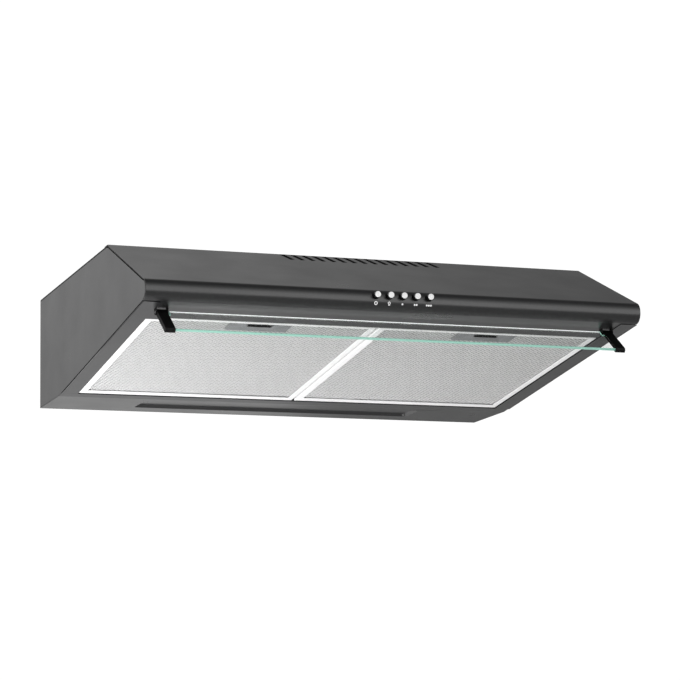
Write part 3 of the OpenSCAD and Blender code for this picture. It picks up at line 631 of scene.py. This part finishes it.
def button_prints(path, round_nose):
    """Printed signs under the buttons: a ring, a lamp, and one to three dots."""
    shape = Shape()

    def mark(*loops):
        outline, *holes = (round_nose(loop, PRINT_Z) for loop in loops)
        sheet(shape, path, outline, holes, thickness=0.05, edge=0.01,
              dent=lambda x, s: np.full_like(x, -0.04))

    x = KEY_X["off"]
    mark(circle(x, 0, 2.1), circle(x, 0, 1.1))
    x = KEY_X["light"]
    mark(arc_points((x, 0.5), 1.7, -50, 230, 10), circle(x, 0.5, 0.85, 24))
    mark(rectangle(x - 1.0, -2.0, x + 1.0, -1.0, 0.3, 2))
    for count, name in enumerate(("low", "medium", "high"), 1):
        for k in range(count):
            mark(circle(KEY_X[name] + (k - (count - 1) / 2) * 2.5, 0, 1.1, 20))
    link(shape, "button_prints", "hood", ["print"])


def top_sheet():
    """Top and back in one sheet, with the holes for the wall, the cabinet, the collar and the screws."""
    front = 1 - TOP_DEPTH
    path = Path([(0, 0), (0, BODY_H), (front, BODY_H), (front, BODY_H - 11)], BEND_R)
    s, p = path.find(lambda p: abs(p.y - BODY_H) < 1e-6)
    wall = s + p.x
    spots = [(0, COLLAR_D, COLLAR_R, 96), (GLAND_X, GLAND_D, GLAND_R, 32)]
    holes = []
    for side in (-1, 1):
        spots += [(side * CABINET_X, d, CABINET_R, 32) for d in CABINET_D]
        spots += [(side * SIDE_X, d, SCREW_R, 16) for d in SIDE_D]
        spots += [(side * BLOWER_X, d, SCREW_R, 16) for d in BLOWER_D]
        spots += [(side * COLLAR_SCREWS, COLLAR_D + way * COLLAR_SCREWS, SCREW_R, 16) for way in (-1, 1)]
        x = side * HANG_X
        head, neck = ((x, HEAD_Z), HEAD_R, 120, 420, 12), ((x, NECK_Z), NECK_R, 0, 180, 15)
        holes.append(arc_points(*head) + arc_points(*neck))
        holes.append(circle(x, LOCK_Z, LOCK_R))
    holes += [circle(x, wall + d, radius, steps) for x, d, radius, steps in spots]
    corner = path.find(lambda p: p.x < BEND_R * 1.01 + front)[0] - 2
    wide, narrow = HALF_W - GAP, HALF_W - GAP - 1.2
    outline = mirrored([(wide, EDGE), (wide, corner), (narrow, corner), (narrow, path.length)])
    shape = Shape()
    sheet(shape, path, outline, holes)
    painted(shape, "top_sheet", "top_shell")


def fold(shape, start, end, width, matrix):
    """A flange folded from the side's plate along an edge in Y and Z. The body lies on the edge's left."""
    along = (end - start).normalized()
    # Local frame: X along the edge, Y outwards from the plate and Z into the body
    local = basis((0, *along), (0, *-left(along)), (1, 0, 0), (-HALF_W, *start))
    path = Path([(-FOLD_R - 0.01, 0), (0, 0), (0, width)], FOLD_R, 8)
    length, mitre = (end - start).length, 1.0
    outline = [(0, 0), (length, 0), (length - mitre, path.length), (mitre, path.length)]
    sheet(shape, path, outline, matrix=matrix @ local, edge=0.05)


def side_sheet(tag, matrix):
    """Side panel: a plate with flanges folded in along the top, the front and the underside."""
    upper_centre, lower_centre = nose_centres()
    radius, top = NOSE_R - INSET, BODY_H - 1
    crest = Vector((-TOP_DEPTH - (CREST_Z - top - INSET / math.cos(FRONT_ANGLE)) / math.tan(FRONT_ANGLE), top))
    upper = arc_points(upper_centre, radius, 90 + math.degrees(FRONT_ANGLE), 180)
    lower = arc_points(lower_centre, radius, 180, 270 - math.degrees(UNDER_ANGLE))
    nose_s = (-lower_centre[0] - REAR_FLAT + NOSE_R * math.sin(UNDER_ANGLE)) / math.cos(UNDER_ANGLE)
    relief, nose_gap = 4, 0.4
    front_low = Vector(upper[0])
    slope_in = (front_low - crest).normalized()
    inward = left(slope_in) * FOLD_R
    front_start, front_end = crest + slope_in * relief, front_low - slope_in * 0.5
    low_front, low_rear = Vector(slope_point(nose_s - nose_gap)), Vector(slope_point(SEAM_S + 1.5))
    up = Vector((math.sin(UNDER_ANGLE), math.cos(UNDER_ANGLE))) * FOLD_R
    outline = [(-1, 1), (-1, top - FOLD_R), (crest.x + relief, top - FOLD_R), front_start + inward,
               front_end + inward, front_low, *upper[1:], *lower, slope_point(nose_s - nose_gap, INSET),
               low_front + up, low_rear + up, slope_point(SEAM_S + 1.4, 1), (-REAR_FLAT, 1)]
    shape = Shape()
    # A flat sheet in the plane of the plate: X is the height and the path runs along Y from its start
    start = -600
    plate = basis((0, 0, 1), (0, 1, 0), (1, 0, 0), (-HALF_W, start, 0))
    loop = [(z, y - start) for y, z in outline]
    sheet(shape, Path([(0, 0), (610, 0)], 0), loop, matrix=matrix @ plate, edge=0.05)
    fold(shape, Vector((crest.x + relief, top)), Vector((-1.5, top)), FLANGE_W - 2, matrix)
    fold(shape, front_end, front_start, FLANGE_W, matrix)
    fold(shape, low_rear, low_front, FLANGE_W, matrix)
    painted(shape, f"side_sheet_{tag}", f"{tag}_side")


def rear_sheet():
    """Flat rear strip of the underside, with its stamped recess and the slots for the filters' tabs."""
    seam, bend, wall = slope_point(SEAM_S), 1.2, (-1, 0)
    path = Path([slope_point(SEAM_S, SEAM_UP), seam, (-REAR_FLAT, 0), wall, (-1, 15)], [bend, 8.0, bend])
    start = path.find(lambda p: (p - Vector(seam)).length < bend + 0.01)[0] + 1.6
    end, corner = path.find(lambda p: (p - Vector(wall)).length < bend + 0.01)
    wide, narrow = HALF_W - GAP, HALF_W - FLANGE_W - 2
    outline = mirrored([(narrow, 0), (narrow, start), (wide, start), (wide, end), (narrow, end),
                        (narrow, path.length)])
    s_mid = end - (RECESS_D0 + RECESS_D1) / 2 - corner.x
    half_s = (RECESS_D1 - RECESS_D0) / 2

    def dent(x, s):
        """Depth of the recess, which has sloping walls and rounded corners."""
        qx, qs = np.abs(x) - (RECESS_X - RECESS_R), np.abs(s - s_mid) - (half_s - RECESS_R)
        outside = np.hypot(np.maximum(qx, 0), np.maximum(qs, 0)) + np.minimum(np.maximum(qx, qs), 0)
        t = np.clip((RECESS_R - outside) / RECESS_WALL, 0, 1)
        return RECESS_H * t * t * (3 - 2 * t)

    loops = []
    for k in np.linspace(0, RECESS_WALL, 7):
        x, s = RECESS_X - k, half_s - k
        loops.append(rectangle(-x, s_mid - s, x, s_mid + s, max(RECESS_R - k, 0.6), 6))
    half, low, high = TAB_SLOT
    holes = [rectangle(x - half, SEAM_UP - high, x + half, SEAM_UP - low, 0.6, 2)
             for x in (side * FILTER_X + tab for side in (-1, 1) for tab in (-TAB_X, TAB_X))]
    shape = Shape()
    sheet(shape, path, outline, holes, loops, dent=dent)
    painted(shape, "rear_strip", "rear_panel")


# ---- Grease filters ----

TAB_W, TAB_L, TAB_CUT = 12.0, 7.7, 1.4
POCKET_X, POCKET_S = 19.0, 301.0
PLATE_X, PLATE_S = 37.0, (300.0, 327.0)
SLOT_X, SLOT_S, SLOT_Z = 15.5, (316.5, 325.0), (4.4, 0.95)
# Latch: half width and height of its plate, its tongue and its grip; where they end up the slope
CATCH_X, TONGUE_X, GRIP_X = 12.0, 11.0, 14.0
CATCH_Z, TONGUE_Z = (1.2, 3.6), (1.6, 3.2)
CATCH_S, TONGUE_S = (313.0, LIP_S - 5), (LIP_S - 5, LIP_S - 2)


def turned_bar(shape, ring, x0, x1, matrix):
    """A short round bar along X, with normals of its own."""
    n = len(ring)
    out = np.column_stack([np.zeros(n), np.array(ring) - np.mean(ring, axis=0)])
    faces = [(i, (i + 1) % n, n + (i + 1) % n, n + i) for i in range(n)]
    shape.add([(x, *p) for x in (x0, x1) for p in ring], faces, np.concatenate([out, out]), matrix)
    for x, way in ((x0, -1), (x1, 1)):
        shape.add([(x, *p) for p in ring], [tuple(range(n))[::way]], np.tile((way, 0.0, 0.0), (n, 1)), matrix)


def filter_rim(tag, side):
    """Four mitred channels of aluminium, folded from strip, with the two rear tabs."""
    shape = Shape()
    w, l, rounding = FILTER_W / 2, FILTER_L, 0.12
    base = filter_place(side)
    x, y, z = (1, 0, 0), (0, 1, 0), (0, 0, 1)
    back, away = (0, -1, 0), (-1, 0, 0)
    # Half length, width, widths of the bars that it meets, and place
    bars = (
        (w, REAR_RIM, RIM_W, RIM_W, basis(x, back, z, (0, 0, 0))),
        (w, FRONT_RIM, RIM_W, RIM_W, basis(x, y, z, (0, -l, 0))),
        (l / 2, RIM_W, FRONT_RIM, REAR_RIM, basis(y, x, z, (-w, -l / 2, 0))),
        (l / 2, RIM_W, FRONT_RIM, REAR_RIM, basis(y, away, z, (w, -l / 2, 0))),
    )
    for number, (half, lip, low, high, local) in enumerate(bars):
        path = Path([(lip, FILTER_T), (0, FILTER_T), (0, 0), (lip, 0)], 1.3, 10)
        ends = list(zip(path.at(path.stations)[0][:, 0] / lip, path.stations))
        outline = [(-half + rounding + u * low, s) for u, s in ends]
        outline += [(half - rounding - u * high, s) for u, s in ends[::-1]]
        holes = []
        if number == 1:
            wall, p = path.find(lambda p: p.x < 1e-6 and p.y < FILTER_T - 1)
            holes = [rectangle(-SLOT_X, wall + p.y - SLOT_Z[0], SLOT_X, wall + p.y - SLOT_Z[1], 0.5, 2)]
        sheet(shape, path, outline, holes, thickness=SKIN, edge=rounding, matrix=base @ local)
    half = TAB_W / 2
    loop = mirrored([(half, 0), (half, TAB_L - TAB_CUT), (half - TAB_CUT, TAB_L)])
    bead = arc_points((FILTER_S0 - SEAM_S + SHEET / 2, 3), 1.2, 0, 342, 18)
    for at in (-TAB_X, TAB_X):
        path = Path([(0.8, 0), (-3.4, 0), (-7.0, 0.35)], 6.0, 3)
        local = basis(x, back, z, (at, 0, 3.5))
        sheet(shape, path, loop, thickness=0.9, edge=rounding, matrix=base @ local)
        turned_bar(shape, bead, at - half, at + half, base)
    link(shape, f"filter_rim_{tag}", f"filter_{tag}", ["frame"], f"filter_frame_{tag}")


# Cross-sections of a strand: share of its length, share of its step across, width, lean and sink
STRAND = ((0.0, 0.0, 1.3, -1.3, 0.0), (0.42, 0.05, 1.1, -1.3, 0.3), (0.58, 0.95, 1.1, -1.3, 0.3),
          (1.0, 1.0, 1.3, -1.3, 0.0))
# Layers: lowest and highest point, pitch across and along the columns, strand width, whether the layer
# leaves room for the latch's pocket, height of its waves, and whether its columns run from side to side
LAYERS = {
    "face": (1.5, 2.2, 6.3, 5.4, 1.1, True, 0.0, False),
    "core": (3.6, 4.9, 9.0, 6.0, 1.7, True, 0.25, True),
    "back": (7.5, 8.1, 9.0, 6.0, 1.7, False, 0.0, False),
}


def expanded_mesh(tag, side, kind):
    """Expanded aluminium: slit strands that lean over, with a knot wherever four of them meet."""
    z0, z1, pitch_u, pitch_v, strand, pocket, wave, turn = LAYERS[kind]
    w = FILTER_W / 2 - RIM_W + 1.5
    low, high = FRONT_RIM - 1.5 - FILTER_L, 1.5 - REAR_RIM
    u0, u1, v0, v1 = (low, high, -w, w) if turn else (-w, w, low, high)
    columns, rows = int((u1 - u0) / (pitch_u / 2)) + 1, int((v1 - v0) / (pitch_v / 2)) + 1
    i, j = (k.ravel() for k in np.meshgrid(np.arange(columns), np.arange(rows), indexing="ij"))
    even = (i + j) % 2 == 0
    starts = np.column_stack([u0 + i[even] * pitch_u / 2, v0 + j[even] * pitch_v / 2])
    middle_z, thick = (z0 + z1) / 2, (z1 - z0) * 0.42
    sections = len(STRAND)
    quads = np.array([(4 * k + (m + 1) % 4, 4 * k + m, 4 * k + 4 + m, 4 * k + 4 + (m + 1) % 4)
                      for k in range(sections - 1) for m in range(4)])
    shape = Shape()
    for way in (1, -1):
        step = np.array([pitch_u / 2, way * pitch_v / 2])
        middle = starts + step / 2
        keep = (middle[:, 0] < u1) & (middle[:, 1] > v0) & (middle[:, 1] < v1)
        x, y = middle.T[::-1] if turn else middle.T
        if pocket:
            keep &= ~((np.abs(x) < POCKET_X + 1) & (y < FILTER_S0 - POCKET_S + 1))
        a = starts[keep]
        points = np.zeros((len(a), 4 * sections, 3))
        places = [step * (across, share) for share, across, *_ in STRAND]
        for k, (_, _, width, lean, sink) in enumerate(STRAND):
            d = places[min(k + 1, sections - 1)] - places[max(k - 1, 0)]
            d /= np.linalg.norm(d)
            c = a + places[k]
            waved = wave * np.sin(c[:, 0] * 0.9) * np.cos(c[:, 1] * 0.55)
            for m, (u, v) in enumerate(rectangle(-1, -1, 1, 1)):
                points[:, 4 * k + m, :2] = c + np.array([-d[1], d[0]]) * u * width * strand / 2
                points[:, 4 * k + m, 2] = middle_z + thick * (v * 0.35 + u * way * lean * 0.65 + sink) + waved
        order = quads[:, ::-1] if turn else quads
        if turn:
            points = points[:, :, [1, 0, 2]]
        faces = (order[None] + (np.arange(len(a)) * 4 * sections)[:, None, None]).reshape(-1, 4)
        shape.add(points.reshape(-1, 3), faces.tolist(), None, filter_place(side))
    # The core layer takes the dark aluminium, which paints in the shade inside the filter
    look = "shaded_inner_mesh" if kind == "core" else "mesh"
    link(shape, f"{kind}_layer_{tag}", f"filter_{tag}", [look], f"{kind}_mesh_{tag}", 30)


def handle(tag, side):
    """Plate with a slot for the fingers, and the latch that slides behind it."""
    base = filter_place(side) @ Matrix.Translation((0, FILTER_S0, 0))
    shape = Shape()
    low, high = PLATE_S
    holes = [rectangle(-SLOT_X, high - SLOT_S[1], SLOT_X, high - SLOT_S[0], 1.2, 4)]
    sheet(shape, Path([(-high, 0), (-low, 0)], 0), rectangle(-PLATE_X, 0, PLATE_X, high - low, 2.0, 5), holes,
          matrix=base @ Matrix.Translation((0, 0, 0.05)), thickness=0.78, edge=0.2)
    box(shape, (-4, -POCKET_S - 2.4, 0.85), (4, -POCKET_S - 1.2, 5.6), base)
    link(shape, f"latch_plate_{tag}", f"filter_{tag}", ["plate"], f"handle_plate_{tag}", 35)
    shape = Shape()
    for half, s, z in ((CATCH_X, CATCH_S, CATCH_Z), (TONGUE_X, TONGUE_S, TONGUE_Z)):
        box(shape, (-half, -s[1], z[0]), (half, -s[0], z[1]), base)
    grip = [(-319.6, 1.2), (-319.6, 0.0), (-319.2, -0.6), (-318.4, -0.9), (-317.6, -0.8), (-317, -0.2),
            (-317, 1.2)]
    prism(shape, grip, -GRIP_X, GRIP_X, base)
    piece = link(shape, f"catch_{tag}_slide", f"catch_{tag}", ["black"], f"latch_{tag}", 35)
    bevel(piece, 0.25)


# ---- Glass visor ----

GLASS_T, GLASS_A, TAB_A = 3.2, (-0.6, 43.0), 8.0
ARM_L, ARM_H, EYE_R, EAR_R = 45.5, 2.8, 3.4, 3.6
ARM_SPLIT = ARM_X0 + 5.1


def glass_pane():
    """The pane, with a notch round each arm's eye. Its edges are ground and rounded."""
    low, arris = -GLASS_T / 2, 0.5
    notch, wide = EAR_X[0] - 1.2, ARM_X0 + 5
    loop = mirrored([(wide, -GLASS_A[1]), (wide, -TAB_A), (notch, -TAB_A), (notch, -GLASS_A[0])])
    loop = [Vector(p) for p in loop]
    n, rear = len(loop), 3
    steps = [left((b - a).normalized()) for a, b in zip(loop, loop[1:] + loop[:1])]

    def shrunk(inset):
        """The outline drawn in by an inset."""
        return [p + (d + e) * inset / (1 + d.dot(e)) for p, d, e in zip(loop, steps[-1:] + steps, steps)]

    rings = [(arris, low), (arris * 0.3, low + arris * 0.3), (0, low + arris)]
    rings += [(inset, -z) for inset, z in rings[::-1]]
    points = [(p.x, p.y, z) for inset, z in rings for p in shrunk(inset)]
    faces = [tuple(range(n))[::-1], tuple(range(5 * n, 6 * n))]
    slots = [0, 0]
    for r in range(5):
        for k in range(n):
            m = (k + 1) % n
            faces.append((r * n + k, r * n + m, (r + 1) * n + m, (r + 1) * n + k))
            slots.append(2 if k == rear else 1)
    shape = Shape()
    shape.add(points, faces, None, VISOR)
    shape.slots = slots
    link(shape, "glass_pane", "visor", ["glass", "glass_front", "glass_rear"], "visor_glass", 5)


def glass_arm(tag, matrix):
    """Moulded arm: an eye round the pin and a clamp round the end of the glass."""
    cut, half = 1.8, GLASS_T / 2 + 0.05
    join = 180 - math.degrees(math.asin(ARM_H / EYE_R))
    outline = arc_points((0, 0), EYE_R, join, -join, 9)
    outline += [(1.3 - ARM_L, -ARM_H), (0.35 - ARM_L, 0.5 - ARM_H), (-ARM_L, 1.5 - ARM_H),
                (-ARM_L, ARM_H - cut), (cut - ARM_L, ARM_H)]
    shape = Shape()
    prism(shape, outline, ARM_SPLIT, ARM_X1, matrix @ VISOR)
    # The slot for the glass is open towards the middle of the hood, so the inner half is a ring round it
    slot = rectangle(-GLASS_A[1] - 0.1, -half, 0.1 - TAB_A, half)
    slab(shape, outline, slot, ARM_X0, ARM_SPLIT, matrix @ VISOR)
    link(shape, f"glass_arm_{tag}", "visor", ["black"], f"visor_arm_{tag}", 35)


def hinge_ears(tag, matrix):
    """Bracket behind the lip, whose two ears come through it and hold the pin."""
    shape, top = Shape(), 2.4
    matrix = matrix @ SLOPE
    box(shape, (EAR_X[0] - 2, -HINGE_S - 12, SHEET + 0.1), (EAR_X[1] + EAR_T, 8 - HINGE_S, top), matrix)
    ear = arc_points((-HINGE_S, HINGE_H), EAR_R, 180, 360, 12)
    ear += [(EAR_R - HINGE_S, top), (-HINGE_S - EAR_R, top)]
    for x in EAR_X:
        prism(shape, ear, x, x + EAR_T, matrix)
    piece = link(shape, f"hinge_ears_{tag}", "hood", ["black"], f"hinge_bracket_{tag}", 35)
    bevel(piece, 0.15)


# ---- Push buttons ----

# Distances from the wall, and radii, of the barrel's collar and stem
STEM_D, COLLAR_BACK, COLLAR_FRONT = 480.0, 502.3, 503.5
STEM_R, KEY_COLLAR_R, KEY_CHAMFER = 2.0, 5.25, 0.25


def button(name, x):
    """Black barrel on its stem and collar, with a white domed cap let into its end."""
    steps, step, white_r, rim, dome = 48, 1.3, CAP_R - 0.35, 0.5, 0.3
    barrel = [(0, STEM_D), (STEM_R, STEM_D), (STEM_R, COLLAR_BACK), (KEY_COLLAR_R - KEY_CHAMFER, COLLAR_BACK),
              (KEY_COLLAR_R, COLLAR_BACK + KEY_CHAMFER), (KEY_COLLAR_R, COLLAR_FRONT - KEY_CHAMFER),
              (KEY_COLLAR_R - KEY_CHAMFER, COLLAR_FRONT), (CAP_R, COLLAR_FRONT),
              (CAP_R, CAP_D - step - 0.2), (CAP_R - 0.2, CAP_D - step), (white_r, CAP_D - step)]
    cap = [(white_r, CAP_D - rim - dome)]
    cap += arc_points((white_r - rim, CAP_D - rim - dome), rim, 0, 90, 15)[1:]
    for k in range(1, 5):
        share = 1 - k / 4
        cap.append(((white_r - rim) * share, CAP_D - dome * share ** 2))
    shape = Shape()
    turned(shape, barrel + cap, Matrix.Translation((x, 0, BUTTON_Z)) @ OUTWARD, steps)
    shape.slots = [0] * (steps * (len(barrel) - 1)) + [1] * (steps * len(cap))
    link(shape, f"key_{name}_cap", f"key_{name}", ["black", "cap"], f"button_{name}", 40)


# ---- Springs ----

# Radius of the wire, then radius, length and turns of each kind
WIRE_R, LATCH_COIL, KEY_COIL = 0.3, (1.8, 9.4, 6), (3.0, 9.2, 5)


def coil(name, radius, length, turns, place, bodies, node):
    """Coil spring away from the wall, with closed ends, between the bodies that it presses on."""
    matrix = place @ OUTWARD
    steps, sides = np.arange(turns * 20 + 1) / 20, 8
    closed = 3.1 * WIRE_R
    z = np.interp(steps, (0, 1, turns - 1, turns), (WIRE_R, closed, length - closed, length - WIRE_R))
    a, b = 2 * np.pi * steps, 2 * np.pi * np.arange(sides) / sides
    out = np.column_stack([np.cos(a), np.sin(a), np.zeros(len(a))])
    normals = out[:, None] * np.cos(b)[None, :, None] + np.sin(b)[None, :, None] * np.array((0, 0, 1.0))
    points = (out * radius + np.outer(z, (0, 0, 1)))[:, None] + WIRE_R * normals
    last = (len(a) - 1) * sides
    faces = [(k + j, k + sides + j, k + sides + (j + 1) % sides, k + (j + 1) % sides)
             for k in range(0, last, sides) for j in range(sides)]
    faces += [tuple(range(sides)), tuple(range(last, last + sides))[::-1]]
    shape = Shape()
    shape.add(points.reshape(-1, 3), faces, normals.reshape(-1, 3), matrix)
    ends = (ROW @ matrix @ Vector((0, 0, h)) for h in (0, length))
    link(shape, name, (*bodies, *ends), ["spring"], node)


# ---- Build ----

button_prints(*front_panel())
top_sheet()
for tag, matrix in (("left", Matrix.Identity(4)), ("right", MIRROR)):
    side_sheet(tag, matrix)
rear_sheet()
for tag, side in (("left", -1), ("right", 1)):
    filter_rim(tag, side)
    for kind in LAYERS:
        expanded_mesh(tag, side, kind)
    handle(tag, side)
    seat = filter_place(side) @ Matrix.Translation((0, FILTER_S0 - POCKET_S - 2.5, 3.3))
    coil(f"latch_coil_{tag}", *LATCH_COIL, seat, (f"filter_{tag}", f"catch_{tag}"), f"latch_spring_{tag}")
glass_pane()
for build in (glass_arm, hinge_ears):
    build("left", MIRROR)
    build("right", Matrix.Identity(4))
for name, x in KEY_X.items():
    button(name, x)
    seat = Matrix.Translation((x, KEY_COIL[1] + 0.05 - COLLAR_BACK, BUTTON_Z))
    coil(f"key_{name}_coil", *KEY_COIL, seat, ("hood", f"key_{name}"), f"spring_{name}")

# ---- CAD nodes that keep their shape ----

KEPT = {
    "zinc": "hinge_pins switch_bracket motor_bracket inner_screws motor_shaft",
    "switch": "switch_housing",
    "base": "switch_base",
    # The air channel takes the black blower plastic as painted shade for the inside seen through the vents
    "blower": "blower_casing_left blower_casing_right inlet_guard outlet_collar air_channel",
    "wheel": "impeller",
    "motor": "motor",
    "rubber": "motor_grommets cable_gland",
    "flap": "flap_front flap_rear",
    # The shutter and its guides are painted near black: painted shade in the vents
    "shutter": "vent_shutter shutter_guides",
    "capacitor": "capacitor",
    "black": "terminal_box terminal_cover",
    "lamp": "lamp_holder",
    "bulb": "lamp_bulb",
    "screw": "case_screws",
}
for key, names in KEPT.items():
    for name in names.split():
        node = frame["nodes"][name]
        node.data.materials.clear()
        node.data.materials.append(MATERIALS[key])
        # The wheel's blades are too thin to be rounded
        if name != "impeller":
            weld = node.modifiers.new("weld", "WELD")
            weld.merge_threshold = 2e-6
            bevel(node, 0.25, 35)

# ---- Floor, light and camera, in metres ----

FLOOR_HALF, FLOOR_Z = 6.0, -1.15
DIM, BACKDROP = 0.02, 1.05
# Brighter parts of the studio: direction, tightness and strength
LOBES = (
    ((0.33, -0.93, 0.10), 6.0, 3.1),
    ((-0.9, 0.45, 0.0), 5.0, 0.72),
    ((-0.2, 0.75, 0.6), 9.5, 1.45),
    ((1.0, 0.1, 0.15), 5.0, 0.4),
)
# Soft boxes low down that shine up under the hood: place, aim, width, depth and radiance
SOFT_BOXES = {
    "under_left_softbox": ((-0.65, -0.1, -0.55), (-0.1, 0, -0.1), 1.0, 1.4, 3.0),
    "under_rear_softbox": ((-0.15, 2.2, -1.1), (0, 0.1, -0.1), 2.0, 1.6, 0.54),
}
# Camera fitted to the straight edges of the hood: its X, Y and Z directions, place, and lens in millimetres
CAMERA_AXES = ((0.94226, -0.33442, -0.01775), (-0.04167, -0.16968, 0.98462), (-0.33229, -0.92702, -0.17382))
CAMERA_PLACE, LENS = (-1.0159, -2.9565, -0.6226), 134.26


def stage_floor():
    mesh = bpy.data.meshes.new("floor")
    corners = rectangle(-FLOOR_HALF, -FLOOR_HALF, FLOOR_HALF, FLOOR_HALF)
    mesh.from_pydata([(*p, FLOOR_Z) for p in corners], [], [(0, 1, 2, 3)])
    floor = bpy.data.objects.new("floor", mesh)
    bpy.context.scene.collection.objects.link(floor)
    m = Nodes("pale_floor", grey(0.82), 0.8)
    m.tint(m.noise(3, 2.0), grey(0.81), grey(0.83))
    mesh.materials.append(m.material)


def soft_box(name, place, target, width, depth, radiance):
    """Area lamp that looks this bright, whatever its size."""
    data = bpy.data.lights.new(name, "AREA")
    data.shape = "RECTANGLE"
    data.size, data.size_y = width, depth
    data.energy = radiance * math.pi * width * depth
    lamp = bpy.data.objects.new(name, data)
    lamp.location = place
    lamp.rotation_euler = (Vector(target) - Vector(place)).to_track_quat("-Z", "Y").to_euler()
    lamp.visible_camera = False
    lamp.visible_transmission = False
    bpy.context.scene.collection.objects.link(lamp)


def world():
    """White to the camera and through the glass; otherwise a soft studio, brighter in a few directions."""
    studio = bpy.data.worlds.new("studio")
    bpy.context.scene.world = studio
    studio.use_nodes = True
    tree = studio.node_tree
    tree.nodes.clear()

    def calculate(operation, *inputs):
        return add_node(tree, "ShaderNodeMath", dict(enumerate(inputs)), operation=operation).outputs[0]

    coords = tree.nodes.new("ShaderNodeTexCoord").outputs["Generated"]
    total = DIM
    for direction, tightness, strength in LOBES:
        dot = add_node(tree, "ShaderNodeVectorMath", {0: coords, 1: Vector(direction).normalized()},
                       operation="DOT_PRODUCT")
        fall = calculate("EXPONENT", calculate("MULTIPLY_ADD", dot.outputs["Value"], tightness, -tightness))
        total = calculate("MULTIPLY_ADD", fall, strength, total)
    rays = tree.nodes.new("ShaderNodeLightPath").outputs
    seen = calculate("MAXIMUM", rays["Is Camera Ray"], rays["Is Transmission Ray"])
    shades = [add_node(tree, "ShaderNodeBackground", {"Color": (1, 1, 1, 1), "Strength": s}).outputs[0]
              for s in (total, BACKDROP)]
    mix = add_node(tree, "ShaderNodeMixShader", {0: seen, 1: shades[0], 2: shades[1]})
    add_node(tree, "ShaderNodeOutputWorld", {"Surface": mix.outputs[0]})


def camera():
    data = bpy.data.cameras.new("camera")
    data.lens = LENS
    data.clip_start, data.clip_end = 0.05, 50.0
    eye = bpy.data.objects.new("camera", data)
    eye.matrix_world = basis(*CAMERA_AXES, CAMERA_PLACE)
    bpy.context.scene.collection.objects.link(eye)
    bpy.context.scene.camera = eye


stage_floor()
world()
for name, values in SOFT_BOXES.items():
    soft_box(name, *values)
camera()
bpy.context.scene.view_settings.view_transform = "Standard"
